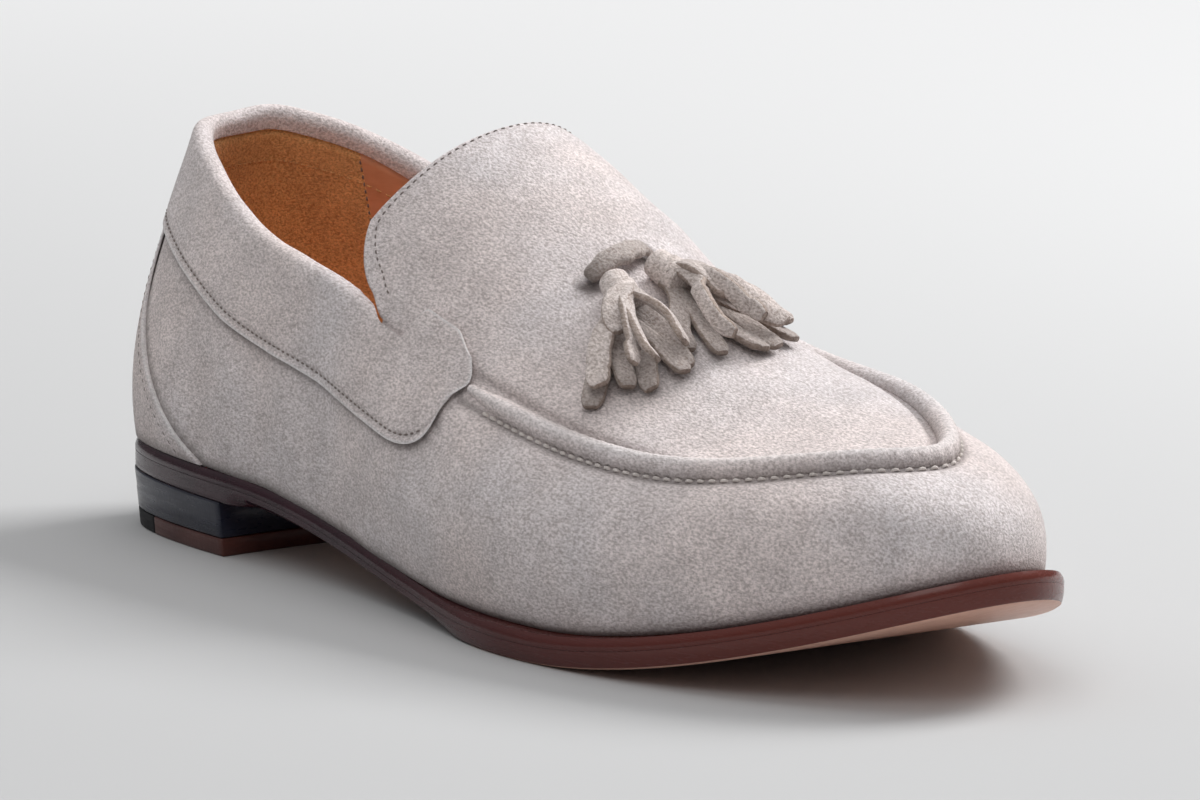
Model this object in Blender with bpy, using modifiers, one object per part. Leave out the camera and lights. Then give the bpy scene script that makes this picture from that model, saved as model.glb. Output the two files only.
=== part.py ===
"""A suede tassel loafer for the right foot, on a leather sole with a low stacked heel.

Units are metres. +X runs from heel to toe, +Y to the inner side of the foot, +Z up. The
origin is on the floor under the middle of the heel.

Every piece follows one last. Stations number its ribs: 0 is the middle of the heel's back,
13 the tip of the toe, 0 to 13 run along the outer side and 13 to 26 back along the inner side.
"""

import math
from collections import namedtuple

import bmesh
import bpy
import numpy as np
from mathutils import Vector
from mathutils.bvhtree import BVHTree

# Driving dimensions of the last
LAST_LENGTH = 0.2885
HEEL_BACK = 0.0322
BALL_WIDTH = 0.0940
HEEL_WIDTH = 0.0660
BACK_HEIGHT = 0.0725
INSTEP_HEIGHT = 0.0500
TOE_BOX_HEIGHT = 0.0400

# Profile of the underside of the sole
HEEL_HEIGHT = 0.0140
HEEL_PITCH = 0.0015
TOE_SPRING = 0.0205
FLAT_START = 0.1400
FLAT_END = 0.1620
SPRING_POWER = 1.75
FALL_POWER = 0.90

# Sole
OUTSOLE_THICKNESS = 0.0038
MIDSOLE_THICKNESS = 0.0022
INSOLE_THICKNESS = 0.0025
FORE_MARGIN = 0.0042
WAIST_MARGIN = 0.0010
HEEL_MARGIN = 0.0014
EDGE_ROUND = 0.0011
WAIST_BEVEL = 0.0035
RAND_END = 0.0300
FORE_START = 0.1050

# Heel
BREAST = 0.0270
BREAST_HOLLOW = 0.0025
BREAST_SKEW = 0.0010
HEEL_TAPER = 0.0012
TOP_PIECE_THICKNESS = 0.0042
RUBBER_END = -0.0080

# Leather
WALL = 0.0022
OVERLAY = 0.0012
FIT_GAP = 0.0003

# Seam roll, collar band and counter
SEAM_WIDTH = 0.0046
SEAM_HEIGHT = 0.0024
BAND_DEPTH = 0.0215
ROLL_DEPTH = 0.0040
THROAT = 6.0

# Tongue
TONGUE_LENGTH = 0.0040
TONGUE_TILT = 0.60
TONGUE_SLOPE = 0.28
TONGUE_INSET = 0.0042

# Lengths, stations and shares that shape the sole, tongue, seam, band and counter
RAND_FADE = 0.0160
FORE_FADE = 0.0500
LIP = 0.0030
LOW_SHARE = 0.30
MIDSOLE_ROUND = 0.35
THROAT_STATION_LENGTH = 0.0290
TONGUE_ROWS = 6
TONGUE_COLUMNS = 12
TONGUE_STRAIGHT = 0.10
TONGUE_ROUND = 0.10
TONGUE_BOW = 0.15
SEAM_START = 7.15
SQUARE_START = 7.0
SQUARE_FADE = 2.0
SEAM_TIP = 0.60
SEAM_FADE = 0.6
SEAM_SIDES = 8
TAB_START = 6.25
TAB_SPAN = 0.80
TAB_CUT = 0.82
TAB_BACK = 6.30
TAB_CORNER = 0.20
TAB_END = 7.05
TAB_LAP = 0.0090
TAB_FRONT = 0.60
ROLL_FADE_START = 5.0
ROLL_FADE_END = 5.75
ROLL_OPEN = 0.55
LAY_END = 6.05
ROLL_ROWS = 7
BAND_ROWS = 4
TAB_RIBS = 11
COUNTER_TOP = 1.45
COUNTER_FOOT = 3.10
COUNTER_CURVE = 1.4
COUNTER_LIFT = 0.0006
COUNTER_COLUMNS = 20
COUNTER_ROWS = 8
HEEL_REACH = 5
HEEL_RIBS = 4
BREAST_POINTS = 6

# Tassels
TASSEL_PLACE = 0.1335
TASSEL_SIDE = -0.0025
HOLE_SPACING = 0.0150
BOW_WIDTH = 0.0056
BOW_THICKNESS = 0.0026
BOW_ARCH = 0.0022
BOW_BACK = 0.0010
BOW_END = 0.55
BOW_RINGS = 10
BOW_SIDES = 8
HEAD_START = 0.0045
HEAD_SIDE = 0.0048
HEAD_LENGTH = 0.0100
HEAD_BACK = 0.0030
HEAD_FRONT = 0.0042
HEAD_LIFT = 0.0006
HEAD_RINGS = 5
HEAD_SIDES = 10
OUTER_HEADING = 16.0
INNER_HEADING = -7.0
STRIP_ROOT = 0.0060
STRIP_LENGTH = 0.0310
STRIP_WIDTH = 0.0052
STRIP_THICKNESS = 0.0013
STRIP_SPREAD = 0.55
STRIP_FALL = 1.15
STRIP_SPLAY = 1.4
STRIP_NECK = 0.75
STRIP_TIP = 0.8
HEAD_CAP = 0.72
STRIP_RINGS = 6
APRON_FINE = 12

# Strips of a tassel: heading outwards in degrees, place round the head, and shares of the sizes
Strip = namedtuple("Strip", "heading root length width lift roll")
OUTER_STRIPS = [
    Strip(41, -150, 0.90, 1.05, 0.0, 8),
    Strip(34, -60, 0.86, 1.10, 2.0, -6),
    Strip(31, 170, 0.94, 0.90, 0.2, 20),
    Strip(25, 10, 0.92, 0.80, 2.6, 55),
    Strip(20, 160, 1.00, 0.95, 0.1, -12),
    Strip(15, -20, 0.96, 0.75, 2.4, 70),
    Strip(11, 150, 1.02, 0.90, 0.3, 15),
    Strip(5, 40, 0.90, 0.80, 1.8, 62),
]
INNER_STRIPS = [
    Strip(3, -140, 1.00, 0.85, 0.2, 10),
    Strip(0, -40, 1.04, 0.75, 2.0, -60),
    Strip(-5, 170, 1.10, 0.95, 0.1, 12),
    Strip(-8, 0, 1.02, 0.80, 2.6, -68),
    Strip(-13, 150, 1.12, 0.95, 0.2, -10),
    Strip(-16, 30, 1.04, 0.90, 2.0, -35),
    Strip(-21, 140, 1.06, 1.05, 0.4, 6),
    Strip(-26, 60, 0.96, 1.00, 1.4, -14),
]

# Counts, and the small step between two stations that gives a direction
STATION_STEP = 0.02
STATIONS = 26
TOE = 13
RIBS_PER_STATION = 3
WALL_ROWS = 9
APRON_COLUMNS = 10

# Feather line: place along the last, and distance from the axis on each side as a share of a width
Feather = namedtuple("Feather", "along width outer inner")
FEATHER_LINE = [
    Feather(0.000, HEEL_WIDTH, 0.000, 0.000),
    Feather(0.012, HEEL_WIDTH, 0.262, 0.250),
    Feather(0.042, HEEL_WIDTH, 0.418, 0.395),
    Feather(0.120, HEEL_WIDTH, 0.500, 0.470),
    Feather(0.225, HEEL_WIDTH, 0.522, 0.450),
    Feather(0.330, HEEL_WIDTH, 0.524, 0.400),
    Feather(0.440, BALL_WIDTH, 0.402, 0.335),
    Feather(0.550, BALL_WIDTH, 0.450, 0.455),
    Feather(0.650, BALL_WIDTH, 0.475, 0.515),
    Feather(0.750, BALL_WIDTH, 0.445, 0.495),
    Feather(0.840, BALL_WIDTH, 0.368, 0.425),
    Feather(0.918, BALL_WIDTH, 0.250, 0.325),
    Feather(0.972, BALL_WIDTH, 0.120, 0.205),
    Feather(0.995, BALL_WIDTH, -0.045, 0.045),
]

# Top of the wall: collar to station 6, apron seam from there. Heights are shares of a size
Top = namedtuple("Top", "outer_along inner_along outer inner height outer_rise inner_rise")
TOP_LINE = [
    Top(0.030, 0.030, 0.000, 0.000, BACK_HEIGHT, 0.975, 0.975),
    Top(0.038, 0.038, 0.100, 0.096, BACK_HEIGHT, 0.965, 0.990),
    Top(0.071, 0.071, 0.172, 0.165, BACK_HEIGHT, 0.920, 0.975),
    Top(0.135, 0.135, 0.240, 0.239, BACK_HEIGHT, 0.825, 0.920),
    Top(0.220, 0.220, 0.292, 0.298, BACK_HEIGHT, 0.720, 0.820),
    Top(0.315, 0.315, 0.325, 0.330, INSTEP_HEIGHT, 1.020, 1.190),
    Top(0.417, 0.417, 0.348, 0.362, INSTEP_HEIGHT, 0.990, 1.150),
    Top(0.519, 0.519, 0.360, 0.372, INSTEP_HEIGHT, 0.900, 1.090),
    Top(0.611, 0.611, 0.368, 0.367, INSTEP_HEIGHT, 0.800, 0.980),
    Top(0.699, 0.689, 0.356, 0.351, TOE_BOX_HEIGHT, 0.870, 1.120),
    Top(0.783, 0.769, 0.309, 0.309, TOE_BOX_HEIGHT, 0.735, 0.980),
    Top(0.851, 0.841, 0.213, 0.229, TOE_BOX_HEIGHT, 0.640, 0.790),
    Top(0.901, 0.896, 0.096, 0.133, TOE_BOX_HEIGHT, 0.565, 0.610),
    Top(0.918, 0.918, -0.037, 0.037, TOE_BOX_HEIGHT, 0.510, 0.510),
]

# Shape of each rib: tilt outwards at the feather line, tilt inwards at the top, how full it is
Rib = namedtuple("Rib", "flare lean fullness")
RIBS = [
    Rib(8, 18, 0.36),
    Rib(8, 18, 0.36),
    Rib(9, 18, 0.36),
    Rib(10, 16, 0.36),
    Rib(13, 13, 0.36),
    Rib(16, 10, 0.36),
    Rib(18, 18, 0.36),
    Rib(16, 34, 0.38),
    Rib(14, 46, 0.40),
    Rib(12, 55, 0.42),
    Rib(10, 62, 0.44),
    Rib(8, 68, 0.46),
    Rib(6, 72, 0.46),
    Rib(5, 72, 0.46),
]

# Crown of the apron from station 6 to the toe: climb in degrees at each seam, and how full it is
Crown = namedtuple("Crown", "outer inner fullness")
CROWNS = [
    Crown(72, 84, 0.71),
    Crown(64, 76, 0.58),
    Crown(47, 58, 0.46),
    Crown(29, 42, 0.42),
    Crown(13, 27, 0.38),
    Crown(4, 16, 0.36),
    Crown(0, 8, 0.35),
    Crown(0, 0, 0.33),
]

# Colours
SUEDE = (0.560, 0.510, 0.470)
SUEDE_DARK = (0.360, 0.315, 0.280)
LINING = (0.520, 0.270, 0.110)
EDGE_BROWN = (0.090, 0.035, 0.030)
SOLE_TAN = (0.560, 0.350, 0.270)
HEEL_NAVY = (0.030, 0.033, 0.050)
TOP_PIECE_RED = (0.150, 0.060, 0.045)
RUBBER_BLACK = (0.012, 0.012, 0.013)


def spline_bends(rows):
    """The second derivatives of the closed cubic spline through the rows, one for each station."""
    n = len(rows)
    matrix = np.zeros((n, n))
    for i in range(n):
        matrix[i, i] = 4
        matrix[i, (i - 1) % n] = 1
        matrix[i, (i + 1) % n] = 1
    change = 6 * (np.roll(rows, -1, 0) - 2 * rows + np.roll(rows, 1, 0))
    return np.linalg.solve(matrix, change)


class Loop:
    """A closed smooth curve through one row of values for each station."""

    def __init__(self, rows):
        self.rows = np.array(rows, float)
        self.bend = spline_bends(self.rows)

    def at(self, station):
        n = len(self.rows)
        i = math.floor(station) % n
        j = (i + 1) % n
        f = station - math.floor(station)
        g = 1 - f
        cubic = (g**3 - g) * self.bend[i] + (f**3 - f) * self.bend[j]
        return g * self.rows[i] + f * self.rows[j] + cubic / 6

    def outward(self, station):
        """Unit normal in plan, away from the foot."""
        ahead = self.at(station + STATION_STEP)
        behind = self.at(station - STATION_STEP)
        run = Vector((ahead[0] - behind[0], ahead[1] - behind[1]))
        run.normalize()
        return np.array([run.y, -run.x, 0.0])


def unit(vector):
    return vector / np.linalg.norm(vector)


def ease(share):
    """A smooth step from 0 to 1."""
    share = min(max(share, 0.0), 1.0)
    return share * share * (3 - 2 * share)


def both_sides(outer, inner):
    """Rows for the whole loop from rows for the outer and the inner side, heel to toe."""
    return outer + inner[-2:0:-1]


def along(share):
    return share * LAST_LENGTH - HEEL_BACK


def under_height(x):
    """Height of the sole's underside over the floor at the place x."""
    pitch = HEEL_PITCH / (RAND_END - along(0))
    if x < RAND_END:
        return HEEL_HEIGHT - pitch * (x - along(0))
    if x < FLAT_START:
        fall = ((x - RAND_END) / (FLAT_START - RAND_END)) ** FALL_POWER
        slope = pitch * (x - RAND_END) * (1 - fall) ** 2
        return (HEEL_HEIGHT - HEEL_PITCH) * (1 - ease(fall)) - slope
    if x < FLAT_END:
        return 0.0
    return TOE_SPRING * ((x - FLAT_END) / (along(1) - FLAT_END)) ** SPRING_POWER


def midsole_base(x):
    return under_height(x) + OUTSOLE_THICKNESS + FIT_GAP


def feather_height(x):
    return midsole_base(x) + MIDSOLE_THICKNESS + FIT_GAP


def feather_rows(side):
    sign = -1 if side == "outer" else 1
    return [[along(r.along), sign * r.width * getattr(r, side)] for r in FEATHER_LINE]


def top_rows(side):
    sign = -1 if side == "outer" else 1
    rows = []
    for foot, top in zip(FEATHER_LINE, TOP_LINE):
        base = feather_height(along(foot.along))
        rise = top.height * getattr(top, side + "_rise")
        x = along(getattr(top, side + "_along"))
        rows.append([x, sign * BALL_WIDTH * getattr(top, side), base + rise])
    return rows


def rib_rows():
    return [list(r) for r in RIBS]


FEATHER = Loop(both_sides(feather_rows("outer"), feather_rows("inner")))
TOP = Loop(both_sides(top_rows("outer"), top_rows("inner")))
RIB = Loop(both_sides(rib_rows(), rib_rows()))
UP = np.array([0.0, 0.0, 1.0])


def bezier(points, t):
    s = 1 - t
    a, b, c, d = points
    return s**3 * a + 3 * s * s * t * b + 3 * s * t * t * c + t**3 * d


def foot_point(station):
    x, y = FEATHER.at(station)
    return np.array([x, y, feather_height(x)])


def wall_curve(station):
    low = foot_point(station)
    high = TOP.at(station)
    flare, lean, fullness = RIB.at(station)
    reach = fullness * np.linalg.norm(high - low)
    flare = math.radians(flare)
    lean = math.radians(lean)
    first = low + reach * (math.sin(flare) * FEATHER.outward(station) + math.cos(flare) * UP)
    second = high + reach * (math.sin(lean) * TOP.outward(station) - math.cos(lean) * UP)
    return low, first, second, high


def wall_point(station, t):
    """A point of the wall's outer face, t running from 0 at the feather line to 1 at the top."""
    return bezier(wall_curve(station), t)


def crown_at(station):
    place = min(max(station - THROAT, 0), len(CROWNS) - 1)
    i = min(int(place), len(CROWNS) - 2)
    f = place - i
    return np.array(CROWNS[i]) * (1 - f) + np.array(CROWNS[i + 1]) * f


def crown_curve(station):
    crown = crown_at(station)
    a = TOP.at(station)
    b = TOP.at(STATIONS - station)
    chord = b - a
    across = unit(chord)
    reach = crown[2] * np.linalg.norm(chord)
    outer = math.radians(crown[0])
    inner = math.radians(crown[1])
    first = a + reach * (math.cos(outer) * across + math.sin(outer) * UP)
    second = b + reach * (math.sin(inner) * UP - math.cos(inner) * across)
    return a, first, second, b


def apron_point(station, w):
    """A point of the apron's outer face, w running from 0 at the outer seam to 1 at the inner."""
    return bezier(crown_curve(station), w)


def skin(station, distance):
    """A point of the upper, its distance from the top line below 0 on the wall, above 0 on the apron."""
    if distance <= 0:
        low, first, second, high = wall_curve(station)
        speed = 3 * np.linalg.norm(high - second)
        return wall_point(station, max(1 + distance / speed, 0.0))
    reach = min(station, STATIONS - station)
    if reach < THROAT - 1:
        low, first, second, high = wall_curve(station)
        return high + distance * unit(high - second)
    climb = math.radians(crown_at(reach)[0 if station < TOE else 1])
    edge = TOP.at(station)
    near = edge + distance * (math.sin(climb) * UP - math.cos(climb) * TOP.outward(station))
    share = ease((reach - SQUARE_START) / SQUARE_FADE)
    if share == 1:
        return near
    curve = crown_curve(reach)
    if station > TOE:
        curve = curve[::-1]
    across = bezier(curve, distance / (3 * np.linalg.norm(curve[1] - curve[0])))
    return across * (1 - share) + near * share


def skin_normal(station, distance):
    """Unit normal of the upper's outer face, away from the foot."""
    ahead = skin(station + STATION_STEP, distance) - skin(station - STATION_STEP, distance)
    upward = skin(station, distance + FIT_GAP) - skin(station, distance - FIT_GAP)
    return unit(np.cross(ahead, upward))


def wall_normal(station, t):
    ahead = wall_point(station + STATION_STEP, t) - wall_point(station - STATION_STEP, t)
    above = wall_point(station, min(t + STATION_STEP, 1))
    below = wall_point(station, max(t - STATION_STEP, 0))
    return unit(np.cross(ahead, above - below))


def surface_object(name, points, faces, material):
    mesh = bpy.data.meshes.new(name)
    mesh.from_pydata([tuple(float(v) for v in p) for p in points], [], faces)
    mesh.materials.append(material)
    obj = bpy.data.objects.new(name, mesh)
    LOAFER.objects.link(obj)
    return obj


def face_out(obj):
    """Turn the faces of a closed mesh outwards."""
    work = bmesh.new()
    work.from_mesh(obj.data)
    bmesh.ops.recalc_face_normals(work, faces=work.faces)
    if work.calc_volume(signed=True) < 0:
        bmesh.ops.reverse_faces(work, faces=work.faces)
    work.to_mesh(obj.data)
    work.free()
    return obj


def grid_faces(rows, columns, wrap=False):
    """Quads between the columns of a grid stored column by column."""
    faces = []
    for i in range(columns if wrap else columns - 1):
        j = (i + 1) % columns
        for k in range(rows - 1):
            faces.append((i * rows + k, j * rows + k, j * rows + k + 1, i * rows + k + 1))
    return faces


def shell(name, columns, material, thickness, wrap=False):
    """A sheet through columns of points on its outer face, given its thickness inwards."""
    points = [p for column in columns for p in column]
    faces = grid_faces(len(columns[0]), len(columns), wrap)
    obj = surface_object(name, points, faces, material)
    solid = obj.modifiers.new("Thickness", "SOLIDIFY")
    solid.thickness = thickness
    solid.offset = -1
    solid.use_even_offset = True
    return obj


def closed_loft(name, rings, material):
    """A solid through closed rings of points, its two ends filled."""
    count = len(rings[0])
    points = [p for ring in rings for p in ring]
    faces = []
    for i in range(len(rings) - 1):
        for k in range(count):
            m = (k + 1) % count
            faces.append((i * count + k, i * count + m, (i + 1) * count + m, (i + 1) * count + k))
    faces.append(tuple(range(count)))
    last = (len(rings) - 1) * count
    faces.append(tuple(last + k for k in reversed(range(count))))
    return face_out(surface_object(name, points, faces, material))


def plate(name, rings, material):
    """A solid sole layer: rings from its lower face to its upper face, both faces laced across."""
    count = len(rings[0])
    half = count // 2
    points = [p for ring in rings for p in ring]
    faces = []
    for i in range(len(rings) - 1):
        for k in range(count):
            m = (k + 1) % count
            faces.append((i * count + k, i * count + m, (i + 1) * count + m, (i + 1) * count + k))
    for base in (0, (len(rings) - 1) * count):
        faces.append((base, base + 1, base + count - 1))
        for k in range(1, half - 1):
            faces.append((base + k, base + k + 1, base + count - k - 1, base + count - k))
        faces.append((base + half - 1, base + half, base + half + 1))
    return face_out(surface_object(name, points, faces, material))


def edge_margin(x):
    """How far the sole stands out past the feather line at the place x."""
    if x < RAND_END:
        return HEEL_MARGIN
    if x < FORE_START:
        waist = ease((x - RAND_END) / RAND_FADE)
        return HEEL_MARGIN + (WAIST_MARGIN - HEEL_MARGIN) * waist
    return WAIST_MARGIN + (FORE_MARGIN - WAIST_MARGIN) * ease((x - FORE_START) / FORE_FADE)


def ring_stations():
    return [i / RIBS_PER_STATION for i in range(STATIONS * RIBS_PER_STATION)]


def sole_ring(inset, height):
    """One ring of the sole, inset from its edge, at a height given by a function of x."""
    ring = []
    for s in ring_stations():
        p = foot_point(s)
        p = p + FEATHER.outward(s) * (edge_margin(p[0]) - inset(p[0]))
        ring.append(np.array([p[0], p[1], height(p[0])]))
    return ring


def build_upper():
    """Wall and apron as one skin, open at the collar, the throat and underneath."""
    rings = STATIONS * RIBS_PER_STATION
    points = []
    for s in ring_stations():
        for k in range(WALL_ROWS):
            points.append(wall_point(s, k / (WALL_ROWS - 1)))
    faces = grid_faces(WALL_ROWS, rings, wrap=True)

    def rim(step):
        return (step % rings) * WALL_ROWS + WALL_ROWS - 1

    first = int(THROAT * RIBS_PER_STATION)
    tip = TOE * RIBS_PER_STATION
    rows = []
    for step in range(first, tip):
        row = [rim(step)]
        for k in range(1, APRON_COLUMNS):
            row.append(len(points))
            points.append(apron_point(step / RIBS_PER_STATION, k / APRON_COLUMNS))
        row.append(rim(rings - step))
        rows.append(row)
    for a, b in zip(rows, rows[1:]):
        for k in range(APRON_COLUMNS):
            faces.append((a[k], b[k], b[k + 1], a[k + 1]))
    last = rows[-1]
    for k in range(APRON_COLUMNS):
        faces.append((last[k], rim(tip), last[k + 1]))
    obj = surface_object("upper", points, faces, SUEDE_SKIN)
    solid = obj.modifiers.new("Thickness", "SOLIDIFY")
    solid.thickness = WALL
    solid.offset = -1
    solid.use_even_offset = True
    return obj


def tongue_point(back, w):
    """A point of the tongue's outer face: back runs from 0 at the throat to 1 at its end."""
    start = THROAT - FIT_GAP / THROAT_STATION_LENGTH
    p = apron_point(start, w)
    drop = apron_point(start, 0.5)[2] - p[2]
    lean = (TONGUE_LENGTH + TONGUE_TILT * max(drop, 0.0)) * back
    return p + np.array([-lean, 0.0, TONGUE_SLOPE * lean])


def build_tongue():
    """The tongue runs on from the apron behind the throat, its edges inside the collar."""
    middle = crown_curve(THROAT)
    speed = 3 * np.linalg.norm(middle[1] - middle[0])
    inset = TONGUE_INSET / speed
    columns = []
    for i in range(TONGUE_ROWS + 1):
        back = i / TONGUE_ROWS
        round_off = TONGUE_ROUND * max(back - TONGUE_STRAIGHT, 0) ** 2 / (1 - TONGUE_STRAIGHT) ** 2
        lo = inset + round_off
        hi = 1 - inset - round_off
        column = []
        for k in range(TONGUE_COLUMNS + 1):
            w = lo + (hi - lo) * k / TONGUE_COLUMNS
            bow = TONGUE_BOW * (math.sin(math.pi * k / TONGUE_COLUMNS))
            column.append(tongue_point(back * (1 - TONGUE_BOW + bow), w))
        columns.append(column)
    return shell("tongue", [c[::-1] for c in columns], SUEDE_SKIN, WALL)


def build_seam():
    """The gathered roll along the apron's edge, from one tab round the toe to the other."""
    rings = []
    first = math.ceil(SEAM_START * RIBS_PER_STATION)
    steps = range(first, STATIONS * RIBS_PER_STATION - first + 1)
    stations = [step / RIBS_PER_STATION for step in steps]
    for s in [SEAM_START] + stations + [STATIONS - SEAM_START]:
        reach = min(s - SEAM_START, STATIONS - SEAM_START - s)
        swell = SEAM_TIP + (1 - SEAM_TIP) * ease(reach / SEAM_FADE)
        half = SEAM_WIDTH / 2 * swell
        over = skin_normal(s, 0)
        low = skin(s, -half)
        high = skin(s, half)
        across = unit(high - low)
        centre = skin(s, 0) + over * (FIT_GAP + OVERLAY / 2)
        ring = []
        for k in range(SEAM_SIDES):
            a = 2 * math.pi * k / SEAM_SIDES
            rise = math.sin(a)
            lift = SEAM_HEIGHT * swell * rise if rise > 0 else OVERLAY / 2 * rise
            ring.append(centre + across * half * math.cos(a) + over * lift)
        rings.append(ring)
    return closed_loft("apron_seam", rings, SUEDE_SKIN)


def band_depth(s):
    """How far the band comes down the wall at a station."""
    reach = abs(s) - TAB_START
    return BAND_DEPTH * (1 - TAB_CUT * ease(reach / TAB_SPAN))


def band_top(s):
    """How far the tab laps over the apron at a station."""
    reach = abs(s)
    rise = ease((reach - TAB_BACK) / TAB_CORNER)
    fall = ease((TAB_END - reach) / TAB_CORNER)
    return TAB_LAP * (TAB_FRONT + (1 - TAB_FRONT) * fall) * rise


def build_band():
    """Collar band: on the wall outside, rolled over its edge, with a tab at each end."""
    columns = []
    outside = FIT_GAP + OVERLAY
    radius = WALL / 2 + outside
    side = [k / RIBS_PER_STATION for k in range(1, int(ROLL_FADE_END * RIBS_PER_STATION) + 1)]
    side += [ROLL_FADE_END + (TAB_END - ROLL_FADE_END) * k / TAB_RIBS for k in range(TAB_RIBS + 1)]
    for s in [-s for s in reversed(side)] + [0.0] + side:
        place = s % STATIONS
        depth = band_depth(s)
        roll = 1 - ease((abs(s) - ROLL_FADE_START) / (ROLL_FADE_END - ROLL_FADE_START))
        column = []
        for k in range(BAND_ROWS + 1):
            d = -depth * (1 - k / BAND_ROWS)
            column.append(skin(place, d) + skin_normal(place, d) * outside)
        top = skin(place, 0)
        out = skin_normal(place, -OVERLAY)
        rise = unit(skin(place, 0) - skin(place, -OVERLAY))
        centre = top - out * (WALL / 2) + rise * FIT_GAP
        arc = math.pi * (1 - ROLL_OPEN * (1 - roll))
        length = arc * radius + ROLL_DEPTH * roll
        lay = ease((abs(s) - ROLL_FADE_END) / (LAY_END - ROLL_FADE_END))
        for k in range(1, ROLL_ROWS + 1):
            turn = min(length * k / ROLL_ROWS / radius, arc)
            run = max(length * k / ROLL_ROWS - arc * radius, 0.0)
            straight = rise * math.cos(turn) - out * math.sin(turn)
            rolled = centre + (out * math.cos(turn) + rise * math.sin(turn)) * radius + straight * run
            if lay > 0:
                d = (band_top(s) + FIT_GAP * 2) * k / ROLL_ROWS
                laid = skin(place, d) + skin_normal(place, d) * outside
                rolled = rolled * (1 - lay) + laid * lay
            column.append(rolled)
        columns.append(column)
    return shell("collar_band", columns, SUEDE_SKIN, OVERLAY)


def counter_reach(t):
    """The station where the counter's front seam crosses the wall at the height t."""
    return COUNTER_TOP + (COUNTER_FOOT - COUNTER_TOP) * (1 - t) ** COUNTER_CURVE


def build_counter():
    """Heel counter: an overlay from the sole up to the band's lower edge."""
    outside = FIT_GAP + OVERLAY
    columns = []
    for i in range(COUNTER_COLUMNS + 1):
        side = 2 * i / COUNTER_COLUMNS - 1
        column = []
        for k in range(COUNTER_ROWS + 1):
            share = k / COUNTER_ROWS
            s = side * counter_reach(share)
            low, first, second, high = wall_curve(s % STATIONS)
            t_top = 1 - (BAND_DEPTH + 2 * FIT_GAP) / (3 * np.linalg.norm(high - second))
            t_low = COUNTER_LIFT / (3 * np.linalg.norm(first - low))
            t = t_low + (t_top - t_low) * share
            column.append(wall_point(s % STATIONS, t) + wall_normal(s % STATIONS, t) * outside)
        columns.append(column)
    return shell("heel_counter", columns, SUEDE_SKIN, OVERLAY)


def build_insole():
    """The footbed, just inside the upper."""
    rings = []
    for lift in (0.0, INSOLE_THICKNESS):
        ring = []
        for s in ring_stations():
            flare = math.radians(RIB.at(s)[0])
            out = FEATHER.outward(s)
            inward = WALL / math.cos(flare) + FIT_GAP * 2 - lift * math.tan(flare)
            p = foot_point(s) - out * inward
            ring.append(np.array([p[0], p[1], feather_height(p[0]) + lift]))
        rings.append(ring)
    return plate("insole", rings, LINING_SKIN)


def build_midsole():
    def flush(x):
        return 0.0

    def top(x):
        return midsole_base(x) + MIDSOLE_THICKNESS

    def shoulder(x):
        return top(x) - MIDSOLE_THICKNESS * MIDSOLE_ROUND

    def eased(x):
        return EDGE_ROUND * MIDSOLE_ROUND

    rings = [sole_ring(flush, midsole_base), sole_ring(flush, shoulder), sole_ring(eased, top)]
    return plate("midsole", rings, EDGE_SKIN)


def waist_share(x):
    """1 in the waist, 0 under the heel and from the ball forward."""
    return ease((x - RAND_END - LIP) / LIP) * (1 - ease((x - FORE_START) / (FLAT_START - FORE_START)))


def build_outsole():
    """Outsole: square edge at the heel with a rounded lip, bevelled in the waist, rounded forward."""

    def base_inset(x):
        return EDGE_ROUND * ease((x - RAND_END) / LIP) + WAIST_BEVEL * waist_share(x)

    def flush(x):
        return 0.0

    def low_height(x):
        return under_height(x) + OUTSOLE_THICKNESS * LOW_SHARE

    def high_height(x):
        return under_height(x) + OUTSOLE_THICKNESS * (1 - LOW_SHARE)

    def top_height(x):
        return under_height(x) + OUTSOLE_THICKNESS

    def low_inset(x):
        return WAIST_BEVEL * LOW_SHARE * waist_share(x)

    def top_inset(x):
        return FIT_GAP * ease((x - RAND_END) / LIP)

    rings = [
        sole_ring(base_inset, under_height),
        sole_ring(low_inset, low_height),
        sole_ring(flush, high_height),
        sole_ring(top_inset, top_height),
    ]
    return plate("outsole", rings, SOLE_SKIN)


def breast_at(y):
    return BREAST - BREAST_HOLLOW * max(1 - (2 * y / HEEL_WIDTH) ** 2, 0.0) + BREAST_SKEW * 2 * y / HEEL_WIDTH


def heel_outline(inset, front):
    """Plan of the heel behind a front line given by a function of y."""
    ring = []
    steps = HEEL_REACH * HEEL_RIBS
    for i in range(-steps, steps + 1):
        s = -i / HEEL_RIBS
        p = foot_point(s % STATIONS) + FEATHER.outward(s % STATIONS) * (HEEL_MARGIN - inset)
        ring.append((p[0], p[1]))
    kept = []
    edges = []
    for a, b in zip(ring, ring[1:]):
        past_a = a[0] - front(a[1])
        past_b = b[0] - front(b[1])
        if past_a < 0:
            kept.append(a)
        if past_a * past_b <= 0 and past_a != past_b:
            f = past_a / (past_a - past_b)
            edges.append(a[1] + (b[1] - a[1]) * f)
    line = []
    for k in range(BREAST_POINTS + 1):
        y = edges[1] + (edges[0] - edges[1]) * k / BREAST_POINTS
        line.append((front(y), y))
    return kept + line


def heel_piece(name, levels, material, front, back=None):
    """A slice of the heel: each level is an inset and a height function of x."""
    rings = []
    for inset, height in levels:
        ring = heel_outline(inset, front)
        if back is not None:
            ring = front_slice(ring, back)
        rings.append([np.array([x, y, height(x)]) for x, y in ring])
    return closed_loft(name, rings, material)


def front_slice(ring, back):
    """The part of an outline ahead of the line x = back."""
    kept = []
    count = len(ring)
    for k in range(count):
        a = ring[k]
        b = ring[(k + 1) % count]
        if a[0] >= back:
            kept.append(a)
        if (a[0] - back) * (b[0] - back) < 0:
            f = (back - a[0]) / (b[0] - a[0])
            kept.append((back, a[1] + (b[1] - a[1]) * f))
    return kept


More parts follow.
